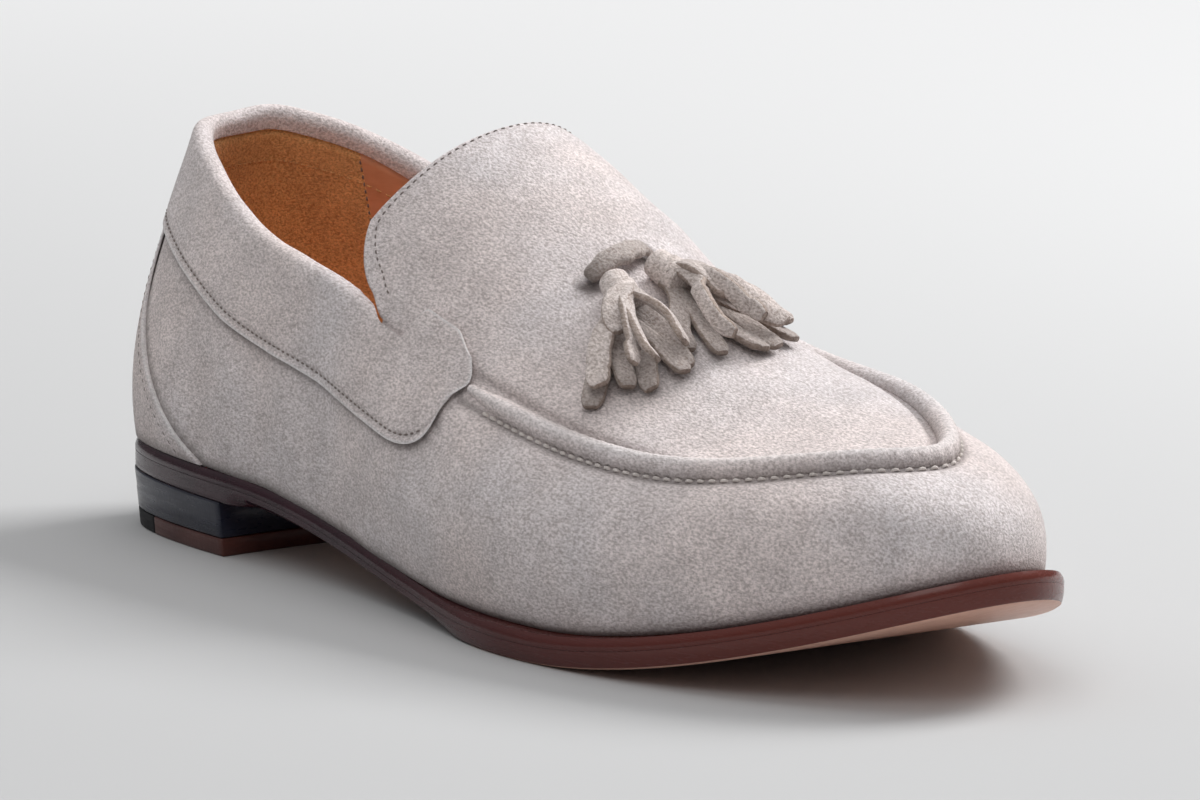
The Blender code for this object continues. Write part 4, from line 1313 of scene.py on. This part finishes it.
# %% [markdown]
# ## The sole
# Each layer of the sole is a stack of rings round the feather line. A ring has an inset from the
# edge and a height, so a few rings draw the rounded edge, the waist's bevel and the toe's spring.

# %% Sole layers
SOLE_FINE = 12
EDGE_BULGE = 0.0008
EDGE_SET_IN = 0.0002
CHAMFER = 0.0011
HEEL_CHAMFER = 0.0004
MID_ROUND = 0.0014
MID_SET_IN = 0.00016
MID_GROOVE = 0.00012


def edge_margin(x):
    """How far the sole's edge stands out from the feather line."""
    if x < RAND_END:
        return HEEL_MARGIN
    if x < FORE_START:
        return HEEL_MARGIN + (WAIST_MARGIN - HEEL_MARGIN) * ease((x - RAND_END) / RAND_FADE)
    return WAIST_MARGIN + (FORE_MARGIN - WAIST_MARGIN) * ease((x - FORE_START) / FORE_FADE)


def waist_share(x):
    """1 in the waist, where the sole's edge is bevelled, and 0 at heel and forefoot."""
    return ease((x - RAND_END - LIP) / LIP) * (1 - ease((x - FORE_START) / (FLAT_START - FORE_START)))


def sole_ring(inset, height):
    ring = []
    count = STATIONS * SOLE_FINE
    for i in range(count):
        s = i * STATIONS / count
        p = foot_point(s)
        p = p + FEATHER.outward(s) * (edge_margin(p[0]) - inset(p[0]))
        ring.append(np.array([p[0], p[1], height(p[0])]))
    return ring


def build_plate(name, rings, materials, face_material, slot, node):
    """A layer of the sole: its rings joined at the side, and its two faces closed with quads."""
    count = len(rings[0])
    half = count // 2
    points = [p for ring in rings for p in ring]
    faces = []
    used = []
    for i in range(len(rings) - 1):
        for k in range(count):
            m = (k + 1) % count
            faces.append((i * count + k, i * count + m, (i + 1) * count + m, (i + 1) * count + k))
            bare = i == 0 and points[k][0] > FLAT_START
            used.append(face_material[0] if bare else 0)
    for end, base in enumerate((0, (len(rings) - 1) * count)):
        cap = [(base, base + 1, base + count - 1)]
        for k in range(1, half - 1):
            cap.append((base + k, base + k + 1, base + count - k - 1, base + count - k))
        cap.append((base + half - 1, base + half, base + half + 1))
        faces.extend(cap)
        used.extend([face_material[end]] * len(cap))
    obj = make_object(name, points, faces, materials)
    obj.data.polygons.foreach_set("material_index", used)
    close_out(obj)
    obj.data.set_sharp_from_angle(angle=math.radians(40))
    return show(obj, slot, node)


def build_sole():
    def outsole_inset(share):
        def inset(x):
            bulge = EDGE_BULGE * (1 - math.sin(math.pi * (0.08 + 0.50 * share)))
            bevelled = WAIST_BEVEL * waist_share(x) * max(1 - share * 1.6, 0.0)
            return bulge * ease((x - RAND_END) / LIP) + EDGE_SET_IN + bevelled
        return inset

    def outsole_height(share):
        return lambda x: under_height(x) + OUTSOLE * share

    def eased(x):
        return CHAMFER * ease((x - RAND_END) / LIP) + HEEL_CHAMFER + WAIST_BEVEL * waist_share(x)

    rings = [sole_ring(eased, under_height)]
    for share in (0.10, 0.25, 0.45, 0.65, 0.85, 1.0):
        rings.append(sole_ring(outsole_inset(share), outsole_height(share)))
    build_plate("outsole_leather", rings, [EDGE, SOLE], (1, 0), "sole_leather", "outsole")

    def mid_height(share):
        return lambda x: under_height(x) + OUTSOLE + (MIDSOLE + 2 * FIT_GAP) * share

    def mid_inset(share):
        rounded_in = MID_ROUND * max(share - 0.30, 0.0) ** 1.5
        return lambda x: rounded_in + MID_SET_IN + MID_GROOVE * (1 - min(share * 6, 1))

    rings = [sole_ring(mid_inset(share), mid_height(share)) for share in (0.02, 0.12, 0.35, 0.6, 0.8, 0.97)]
    build_plate("midsole_leather", rings, [EDGE], (0, 0), "edge", "midsole")


build_sole()
print("points in a ring of the sole", STATIONS * SOLE_FINE)

# %% [markdown]
# ## The heel
# The heel is a stack of stained leather lifts on a walking layer that is rubber behind and
# leather in front. Its breast, the front face, is hollowed a little.

# %% Heel
BREAST = 0.0270
BREAST_HOLLOW = 0.0025
BREAST_SKEW = 0.0010
HEEL_TAPER = 0.0012
TOP_PIECE = 0.0042
RUBBER_END = -0.0080
BREAST_POINTS = 20
LIFTS = 2
LIFT_GROOVE = 0.02
LIFT_SET_IN = 0.00006
LEVEL_GAP = 0.00005
SPLIT_GAP = 0.0002


def breast_at(y):
    return BREAST - BREAST_HOLLOW * max(1 - (2 * y / HEEL_WIDTH) ** 2, 0.0) + BREAST_SKEW * 2 * y / HEEL_WIDTH


def heel_outline(inset, front, fine=14):
    """The heel's outline from above, cut off along the line x = front(y)."""
    ring = []
    for i in range(-5 * fine, 5 * fine + 1):
        s = (-i / fine) % STATIONS
        p = foot_point(s) + FEATHER.outward(s) * (HEEL_MARGIN - inset)
        ring.append((p[0], p[1]))
    kept = []
    edges = []
    for a, b in zip(ring, ring[1:]):
        past_a = a[0] - front(a[1])
        past_b = b[0] - front(b[1])
        if past_a < 0:
            kept.append(a)
        if past_a * past_b <= 0 and past_a != past_b:
            edges.append(a[1] + (b[1] - a[1]) * past_a / (past_a - past_b))
    breast = [edges[1] + (edges[0] - edges[1]) * k / BREAST_POINTS for k in range(BREAST_POINTS + 1)]
    return kept + [(front(y), y) for y in breast]


def front_slice(ring, back):
    """The part of an outline in front of x = back."""
    kept = []
    for a, b in zip(ring, ring[1:] + ring[:1]):
        if a[0] >= back:
            kept.append(a)
        if (a[0] - back) * (b[0] - back) < 0:
            f = (back - a[0]) / (b[0] - a[0])
            kept.append((back, a[1] + (b[1] - a[1]) * f))
    return kept


def heel_piece(name, levels, material, front, slot, node, back=None):
    rings = []
    for inset, height in levels:
        ring = heel_outline(inset, front)
        if back is not None:
            ring = front_slice(ring, back)
        rings.append([np.array([x, y, height(x)]) for x, y in ring])
    points, faces = loft_data(rings)
    obj = close_out(make_object(name, points, faces, [material]))
    bevel(obj, 0.0004, 2, 40)
    return show(obj, slot, node)


def lift_height(share, above=0.0):
    """The height of a lift's face: share is 0 on the walking layer and 1 under the sole."""
    return lambda x: TOP_PIECE + (under_height(x) - TOP_PIECE) * share + above


top_inset = HEEL_TAPER * (1 - TOP_PIECE / HEEL_HEIGHT)
levels = []
for i in range(LIFTS + 1):
    share = i / LIFTS
    inset = top_inset * (1 - share)
    if i:
        levels.append((inset, lift_height(share - LIFT_GROOVE)))
    if i < LIFTS:
        levels.append((inset + (LIFT_SET_IN if i else 0.0), lift_height(share, LEVEL_GAP)))
heel_piece("heel_lifts", levels, HEEL, breast_at, "heel", "heel_block")

walking = [(HEEL_TAPER, lambda x: 0.0), (top_inset, lambda x: TOP_PIECE - LEVEL_GAP)]
heel_piece("walking_rubber", walking, RUBBER, lambda y: RUBBER_END, "rubber", "top_piece_rubber")
split = RUBBER_END + SPLIT_GAP
heel_piece("walking_leather", walking, TOP_RED, breast_at, "top_piece", "top_piece_leather", split)
print("heel lifts", LIFTS)

# %% [markdown]
# ## Inside
# The collar shows the lining: soft suede round the heel that grips the foot, then smooth leather
# in front of an upright seam. A thin sheet just inside the wall carries both.

# %% Lining and footbed
GRIP_END = 0.0005
LINING_FINE = 8
LINING_ROWS = 22
LINING_FOOT = 0.10
LINING_DROP = 0.0020
LINING_END = 6.6
LINING_GAP = 0.00025
LINING_THICKNESS = 0.0006


def build_lining():
    count = STATIONS * LINING_FINE
    points = []
    for i in range(count):
        s = i / LINING_FINE
        curve = wall_curve(s)
        length = 3 * np.linalg.norm(curve[3] - curve[2])
        for k in range(LINING_ROWS + 1):
            t = LINING_FOOT + (1 - LINING_DROP / length - LINING_FOOT) * k / LINING_ROWS
            points.append(bezier(curve, t) - wall_normal(s, t) * (WALL + LINING_GAP))
    faces = []
    used = []
    for i in range(count):
        j = (i + 1) % count
        if min(i, count - i) / LINING_FINE > LINING_END:
            continue
        for k in range(LINING_ROWS):
            a = i * (LINING_ROWS + 1) + k
            b = j * (LINING_ROWS + 1) + k
            faces.append((a, a + 1, b + 1, b))
            middle = (points[a][0] + points[b][0]) / 2
            used.append(0 if middle < GRIP_END else 1)
    obj = make_object("lining_skin", points, faces, [GRIP, LINING])
    obj.data.polygons.foreach_set("material_index", used)
    paint(obj, [0.0] * len(points))
    thicken(obj, LINING_THICKNESS, 1.0)
    return show(obj, "lining")


lining = build_lining()
LINING_TREE = surface_tree(lining)


def lining_spots(stations, drops):
    """Spots on the lining at a distance below the top line."""
    spots = []
    for s, drop in zip(stations, drops):
        curve = wall_curve(s % STATIONS)
        t = 1 - drop / (3 * np.linalg.norm(curve[3] - curve[2]))
        n = wall_normal(s % STATIONS, t)
        spots.append((bezier(curve, t) - n * (WALL + 0.0010), -n))
    return lay_on(LINING_TREE, spots, LINING_THICKNESS + 0.00010)


GRIP_DROP = 0.0105
GRIP_STITCHES = 61
END_STITCHES = 18
round_heel = np.linspace(-3.9, 3.9, GRIP_STITCHES)
grip_row = lining_spots(round_heel, [GRIP_DROP] * GRIP_STITCHES)
stitch_row("grip_stitches", grip_row, GRIP, FINE_THREAD, THREAD_SHARE, 5)
tenths = np.arange(60) / 10
grip_station = float(np.interp(GRIP_END, [TOP.at(s)[0] for s in tenths], tenths))
for side, side_name in ((-1, "inner"), (1, "outer")):
    upright = [side * (grip_station + 0.03)] * END_STITCHES
    end_row = lining_spots(upright, np.linspace(0.004, 0.036, END_STITCHES))
    stitch_row("grip_end_" + side_name, end_row, DARK_THREAD, FINE_THREAD, THREAD_SHARE, 5)
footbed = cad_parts["insole"]
footbed.data.materials.clear()
footbed.data.materials.append(LINING)
print("lining", len(lining.data.vertices), "points")

# %% [markdown]
# ## The tassels
# A strap runs from one punched hole to the other, and two wrapped heads hang from it over the
# apron. The tables give each strip's heading in degrees, its place round the head's rim, and its
# length and width as shares. Lift counts the strips it lies on, and roll turns it on its edge.

# %% Sizes and tables of the tassels
HEAD_START = 0.0045
HEAD_SIDE = 0.0048
HEAD_LENGTH = 0.0100
HEAD_BACK = 0.0030
HEAD_FRONT = 0.0042
HEAD_LIFT = 0.0004
HEAD_RINGS = 22
HEAD_SIDES = 28
WRAP_STEP = 0.00045
OUTER_HEADING = 16.0
INNER_HEADING = -7.0
STRIP_ROOT = 0.0060
STRIP_LENGTH = 0.0310
STRIP_WIDTH = 0.0050
STRIP_THICKNESS = 0.0019
STRIP_SPREAD = 0.55
STRIP_FALL = 1.15
TIP_START = 0.78
STRIP_STEPS = 26
STRIP_CROWD = 1.8
STRIP_SIDES = 16
STRIP_CURL = 0.0011
Strip = namedtuple("Strip", "heading root length width lift roll")
OUTER_STRIPS = [
    Strip(41, -150, 0.90, 1.05, 0.0, 8),
    Strip(34, -60, 0.86, 1.10, 2.0, -6),
    Strip(31, 170, 0.94, 0.90, 0.2, 20),
    Strip(25, 10, 0.92, 0.80, 2.6, 55),
    Strip(20, 160, 1.00, 0.95, 0.1, -12),
    Strip(15, -20, 0.96, 0.75, 2.4, 70),
    Strip(11, 150, 1.02, 0.90, 0.3, 15),
    Strip(5, 40, 0.90, 0.80, 1.8, 62),
    Strip(7, 120, 0.98, 1.05, 0.2, -10),
    Strip(28, 0, 0.62, 1.10, 3.4, 6),
]
INNER_STRIPS = [
    Strip(3, -140, 1.00, 0.85, 0.2, 10),
    Strip(0, -40, 1.04, 0.75, 2.0, -60),
    Strip(-5, 170, 1.10, 0.95, 0.1, 12),
    Strip(-8, 0, 1.02, 0.80, 2.6, -68),
    Strip(-13, 150, 1.12, 0.95, 0.2, -10),
    Strip(-16, 30, 1.04, 0.90, 2.0, -35),
    Strip(-21, 140, 1.06, 1.05, 0.4, 6),
    Strip(-26, 60, 0.96, 1.00, 1.4, -14),
    Strip(13, -120, 0.86, 1.00, 0.2, 12),
    Strip(-10, 10, 0.70, 1.05, 3.2, 10),
]
print("strips", len(OUTER_STRIPS), len(INNER_STRIPS))

# %% [markdown]
# ## The bow's strap
# A ray straight down finds the apron under any spot, so a path can be drawn in plan and then laid
# on the shoe at a height. The strap follows such a path between its holes, arched in the middle
# and pinched at both ends, with a groove along the top where it is folded.

# %% Paths on the apron, and the bow's strap
CROWN_FINE = 12
BOW_WIDTH = 0.0056
BOW_THICKNESS = 0.0026
BOW_ARCH = 0.0022
BOW_BACK = 0.0010
BOW_END = 0.55
BOW_STEPS = 32
BOW_SIDES = 18


def skin_tree():
    points = []
    rows = (TOE - int(THROAT)) * CROWN_FINE
    for i in range(rows):
        curve = crown_curve(THROAT + i / CROWN_FINE)
        for k in range(CROWN_FINE + 1):
            points.append(Vector(bezier(curve, k / CROWN_FINE)))
    return BVHTree.FromPolygons(points, grid_faces(CROWN_FINE + 1, rows))


SKIN_TREE = skin_tree()


def on_apron(forward, inner, height):
    """A point above the apron and the apron's normal, forward of the bow and to its inner side."""
    start = Vector((TASSEL_PLACE + forward, TASSEL_SIDE + inner, LAST_LENGTH))
    place, normal = SKIN_TREE.ray_cast(start, Vector((0, 0, -1)))[:2]
    if normal.z < 0:
        normal = -normal
    return place + normal * height, normal


def rounded(a, squareness_x, squareness_y):
    """A corner of a rounded box one unit wide, at an angle."""
    x = math.copysign(abs(math.cos(a)) ** squareness_x, math.cos(a))
    y = math.copysign(abs(math.sin(a)) ** squareness_y, math.sin(a))
    return x, y


def path_frames(path):
    """Each point of a path with its sideways, upward and forward directions."""
    frames = []
    for i, (point, normal) in enumerate(path):
        tangent = (path[min(i + 1, len(path) - 1)][0] - path[max(i - 1, 0)][0]).normalized()
        side = tangent.cross(normal).normalized()
        frames.append((point, side, side.cross(tangent).normalized(), tangent))
    return frames


def build_bow():
    path = []
    for k in range(BOW_STEPS + 1):
        share = 2 * k / BOW_STEPS - 1
        end = BOW_END + (1 - BOW_END) * math.cos(math.pi * share / 2) ** 0.5
        height = FIT_GAP * 0.5 + BOW_THICKNESS / 2 * end + BOW_ARCH * (1 - share * share)
        path.append(on_apron(-BOW_BACK * abs(share), share * HOLE_SPACING / 2, height))
    rings = []
    for i, (point, side, up, tangent) in enumerate(path_frames(path)):
        u = i / BOW_STEPS
        taper = BOW_END + (1 - BOW_END) * math.sin(math.pi * u) ** 0.5
        fold = 1 + 0.08 * math.sin(9 * u * math.pi)
        ring = []
        for k in range(BOW_SIDES):
            c, s = rounded(2 * math.pi * (k + 0.5) / BOW_SIDES, 0.7, 0.7)
            groove = 1 - 0.22 * math.exp(-((c / 0.22) ** 2)) if s > 0 else 1.0
            sideways = side * (BOW_WIDTH / 2 * taper * fold * c)
            ring.append(point + sideways + up * (BOW_THICKNESS / 2 * taper * s * groove))
        rings.append(ring)
    points, faces = loft_data(rings)
    obj = close_out(make_object("bow_strap", points, faces, [TASSEL_SUEDE]))
    # Painted shade: the whole strap is darkened, most at its ends, where it dips into the holes.
    tone = []
    for i in range(len(points)):
        u = (i // BOW_SIDES) / BOW_STEPS
        tone.append(0.38 + 0.60 * (bell(u, 0.0, 0.16) + bell(u, 1.0, 0.16)))
    paint(obj, tone)
    return show(obj, "tassel_suede", "tassel_bow")


bow = build_bow()
print("bow", len(bow.data.vertices), "points")

# %% [markdown]
# ## Heads and strips
# A head is a tube with a small spiral step, the end of the suede that is wrapped round it. Every
# strip leaves the head's rim, falls and comes to rest on the apron or on other strips. Its rings
# lie closer together toward the tip, which is drawn in, and its narrow faces show the cut edge.

# %% Tassels
def plan(side, distance, angle, sideways=0.0):
    """A spot of a tassel from above: how far forward of the bow, and how far to the inner side."""
    inner = side * HEAD_SIDE - distance * math.sin(angle) + sideways
    return HEAD_START + distance * math.cos(angle), inner


def head_mesh(side, heading):
    def radius_at(u):
        return HEAD_BACK + (HEAD_FRONT - HEAD_BACK) * u

    path = []
    for k in range(HEAD_RINGS + 1):
        u = k / HEAD_RINGS
        path.append(on_apron(*plan(side, HEAD_LENGTH * u, heading), radius_at(u) + HEAD_LIFT))
    rings = []
    tone = []
    for i, (point, across, up, tangent) in enumerate(path_frames(path)):
        u = i / HEAD_RINGS
        cap = min(1.0, 0.55 + math.sqrt(max(u, 0.0)) * 2.2, 0.70 + math.sqrt(max(1 - u, 0.0)) * 2.0)
        ring = []
        for k in range(HEAD_SIDES):
            a = 2 * math.pi * k / HEAD_SIDES
            wrap = (a / (2 * math.pi) + u * 1.15 + 0.30) % 1.0
            r = radius_at(u) * cap + WRAP_STEP * (1 - wrap) * min(wrap / 0.03, 1)
            ring.append(point + across * (r * math.cos(a)) + up * (r * math.sin(a)))
            # Painted shade under the wrapped step's edge and at the head's front end.
            tone.append(0.5 * bell(wrap, 0.0, 0.05) + 0.25 * bell(1 - u, 0.0, 0.06))
        rings.append(ring)
    return (*loft_data(rings), tone)


def strip_share(k):
    """The share of a strip's length at its ring k."""
    return 1 - (1 - k / STRIP_STEPS) ** STRIP_CROWD


def strip_path(strip, number, side, heading):
    angle = math.radians(strip.heading)
    spread = math.radians(strip.root)
    root = HEAD_LIFT + HEAD_FRONT * (1 + STRIP_SPREAD * math.cos(spread))
    rest = STRIP_THICKNESS / 2 + FIT_GAP + strip.lift * STRIP_THICKNESS
    rest += abs(math.sin(math.radians(strip.roll))) * STRIP_WIDTH * strip.width / 2
    path = []
    for k in range(STRIP_STEPS + 1):
        share = strip_share(k)
        distance = STRIP_ROOT + (strip.length * STRIP_LENGTH - STRIP_ROOT) * share
        bend = heading + (angle - heading) * ease(share * 1.4)
        wave = STRIP_CURL * math.sin(4.2 * share + number * 1.7) * share
        spot = plan(side, distance, bend, HEAD_FRONT * math.sin(spread) * STRIP_SPREAD + wave)
        curl = STRIP_CURL * math.sin(math.pi * min(share * 1.25, 1.0)) * min(strip.lift, 2.0)
        path.append(on_apron(*spot, root + (rest - root) * ease(share * STRIP_FALL) + curl))
    return path


def strip_mesh(path, half, roll):
    """A thick strip with rounded corners, narrower at its root and drawn in at its tip."""
    corners = [rounded(2 * math.pi * (k + 0.5) / STRIP_SIDES, 0.45, 0.65) for k in range(STRIP_SIDES)]
    rings = []
    for i, (point, side, up, tangent) in enumerate(path_frames(path)):
        u = strip_share(i)
        tip = math.sqrt(1 - 0.70 * (max(u - TIP_START, 0) / (1 - TIP_START)) ** 4)
        wide_half = half * (0.75 + 0.25 * ease(u * 2)) * tip
        deep_half = STRIP_THICKNESS / 2 * (1 - 0.35 * max(u - 0.94, 0) / 0.06)
        turn = roll * ease(u * 2)
        wide = side * math.cos(turn) + up * math.sin(turn)
        deep = up * math.cos(turn) - side * math.sin(turn)
        rings.append([point + wide * (wide_half * a) + deep * (deep_half * b) for a, b in corners])
    return loft_data(rings)


def build_tassel(name, node, side):
    strips = OUTER_STRIPS if side < 0 else INNER_STRIPS
    heading = math.radians(OUTER_HEADING if side < 0 else INNER_HEADING)
    points, faces, tone = head_mesh(side, heading)
    used = [0] * len(faces)
    for number, strip in enumerate(strips):
        path = strip_path(strip, number, side, heading)
        p, f = strip_mesh(path, STRIP_WIDTH * strip.width / 2, math.radians(strip.roll))
        base = len(points)
        points = points + p
        for i in range(len(p)):
            u = (i // STRIP_SIDES) / STRIP_STEPS
            # Painted shade: darker at the root by the head, on each strip's underside, and over the whole of
            # a strip that lies low; the tips are darker too.
            underside_shade = max(-math.sin(2 * math.pi * (i % STRIP_SIDES + 0.5) / STRIP_SIDES), 0)
            low = 0.30 if strip.lift < 1 else 0.0
            tone.append(0.45 * bell(u, 0.0, 0.22) + 0.40 * bell(u, 1.0, 0.30) + 0.55 * underside_shade + low)
        for n, face in enumerate(f):
            faces.append(tuple(base + i for i in face))
            turn = abs(math.cos(2 * math.pi * (n % STRIP_SIDES + 1) / STRIP_SIDES))
            used.append(1 if n >= len(f) - 2 or turn > 0.9 else 0)
    obj = make_object(name, points, faces, [TASSEL_SUEDE, CUT_EDGE])
    obj.data.polygons.foreach_set("material_index", used)
    close_out(obj)
    obj.data.set_sharp_from_angle(angle=math.radians(50))
    paint(obj, tone)
    return show(obj, "tassel_suede", node)


outer_tassel = build_tassel("outer_tassel", "tassel_outer", -1)
inner_tassel = build_tassel("inner_tassel", "tassel_inner", 1)
print("tassels", len(outer_tassel.data.vertices), len(inner_tassel.data.vertices))

# %% [markdown]
# ## The floor
# The shoe stands on a plain pale floor that reaches far past the picture. Its colour is a middle
# grey, so that the shadow keeps its depth, and a soft glow that grows away from the camera makes
# the far part as bright as a studio's backdrop.

# %% Floor
FLOOR_REACH = 12
FLOOR_GREY = 0.50
VIEW_TURN = math.radians(-144.4)
GLOW_NEAR = -0.1
GLOW_FAR = 1.9
GLOW_STRENGTH = 0.55
corners = [(-FLOOR_REACH, -FLOOR_REACH, 0), (FLOOR_REACH, -FLOOR_REACH, 0)]
corners += [(FLOOR_REACH, FLOOR_REACH, 0), (-FLOOR_REACH, FLOOR_REACH, 0)]
floor_mesh = bpy.data.meshes.new("floor")
floor_mesh.from_pydata(corners, [], [(0, 1, 2, 3)])
floor = bpy.data.objects.new("floor", floor_mesh)
bpy.context.scene.collection.objects.link(floor)
floor_material = bpy.data.materials.new("Floor")
floor_material.use_nodes = True
floor_tree = floor_material.node_tree
floor_shader = floor_tree.nodes["Principled BSDF"]
floor_shader.inputs["Base Color"].default_value = (FLOOR_GREY, FLOOR_GREY, FLOOR_GREY, 1)
floor_shader.inputs["Roughness"].default_value = 0.90
floor_shader.inputs["Emission Color"].default_value = (1, 1, 1, 1)
turned = add(floor_tree, "ShaderNodeMapping")
turned.inputs["Rotation"].default_value = (0, 0, VIEW_TURN)
floor_tree.links.new(add(floor_tree, "ShaderNodeTexCoord").outputs["Object"], turned.inputs["Vector"])
depth_axis = add(floor_tree, "ShaderNodeSeparateXYZ")
floor_tree.links.new(turned.outputs["Vector"], depth_axis.inputs[0])
glow = remap(floor_tree, depth_axis.outputs["X"], GLOW_NEAR, GLOW_FAR, 0.0, GLOW_STRENGTH, smooth=True)
floor_tree.links.new(glow, floor_shader.inputs["Emission Strength"])
floor_mesh.materials.append(floor_material)
print("floor", 2 * FLOOR_REACH, "m wide")

# %% [markdown]
# ## Light
# One large soft light above and behind, on the inner side, shapes the suede and throws the shadow
# toward the camera. A weaker one fills the front, one overhead lifts the apron, and a pale world,
# brighter above than at the horizon, keeps the shadows open.

# %% Lights and world
def area_light(name, place, aim, size, power):
    data = bpy.data.lights.new(name, "AREA")
    data.shape = "RECTANGLE"
    data.size = size[0]
    data.size_y = size[1]
    data.energy = power
    lamp = bpy.data.objects.new(name, data)
    lamp.location = place
    lamp.rotation_euler = (Vector(aim) - Vector(place)).to_track_quat("-Z", "Y").to_euler()
    bpy.context.scene.collection.objects.link(lamp)
    return lamp


middle = (0.11, 0.0, 0.04)
area_light("key", (0.20, 1.05, 1.15), middle, (0.7, 0.7), 21.0)
area_light("front", (0.9, -0.9, 1.4), middle, (1.0, 0.8), 4.2)
area_light("top", (0.0, 0.1, 1.6), middle, (1.2, 1.2), 6.5)
world = bpy.data.worlds.new("Studio")
world.use_nodes = True
sky = world.node_tree
sky_height = add(sky, "ShaderNodeSeparateXYZ")
sky.links.new(add(sky, "ShaderNodeTexCoord").outputs["Generated"], sky_height.inputs[0])
sky_light = remap(sky, sky_height.outputs["Z"], 0.0, 0.8, 0.10, 0.52, smooth=True)
sky.nodes["Background"].inputs["Color"].default_value = (0.97, 0.98, 1.0, 1)
sky.links.new(sky_light, sky.nodes["Background"].inputs["Strength"])
bpy.context.scene.world = world
bpy.context.scene.view_settings.view_transform = "Standard"
print("lights", len(bpy.data.lights))

# %% [markdown]
# ## Camera
# A long lens from the outer side of the toe, low above the floor, sees the shoe as the photo
# does. A rotation that points the camera's -Z axis along the line of sight aims it.

# %% Camera and sizes
camera_data = bpy.data.cameras.new("camera")
camera_data.lens = 196.0
camera_data.sensor_width = 36.0
camera_data.clip_end = 60.0
camera = bpy.data.objects.new("camera", camera_data)
eye = Vector((1.2448, -0.8023, 0.2662))
look = Vector((0.1226, 0.0, 0.0450)) - eye
camera.location = eye
camera.rotation_euler = look.to_track_quat("-Z", "Y").to_euler()
bpy.context.scene.collection.objects.link(camera)
bpy.context.scene.camera = camera
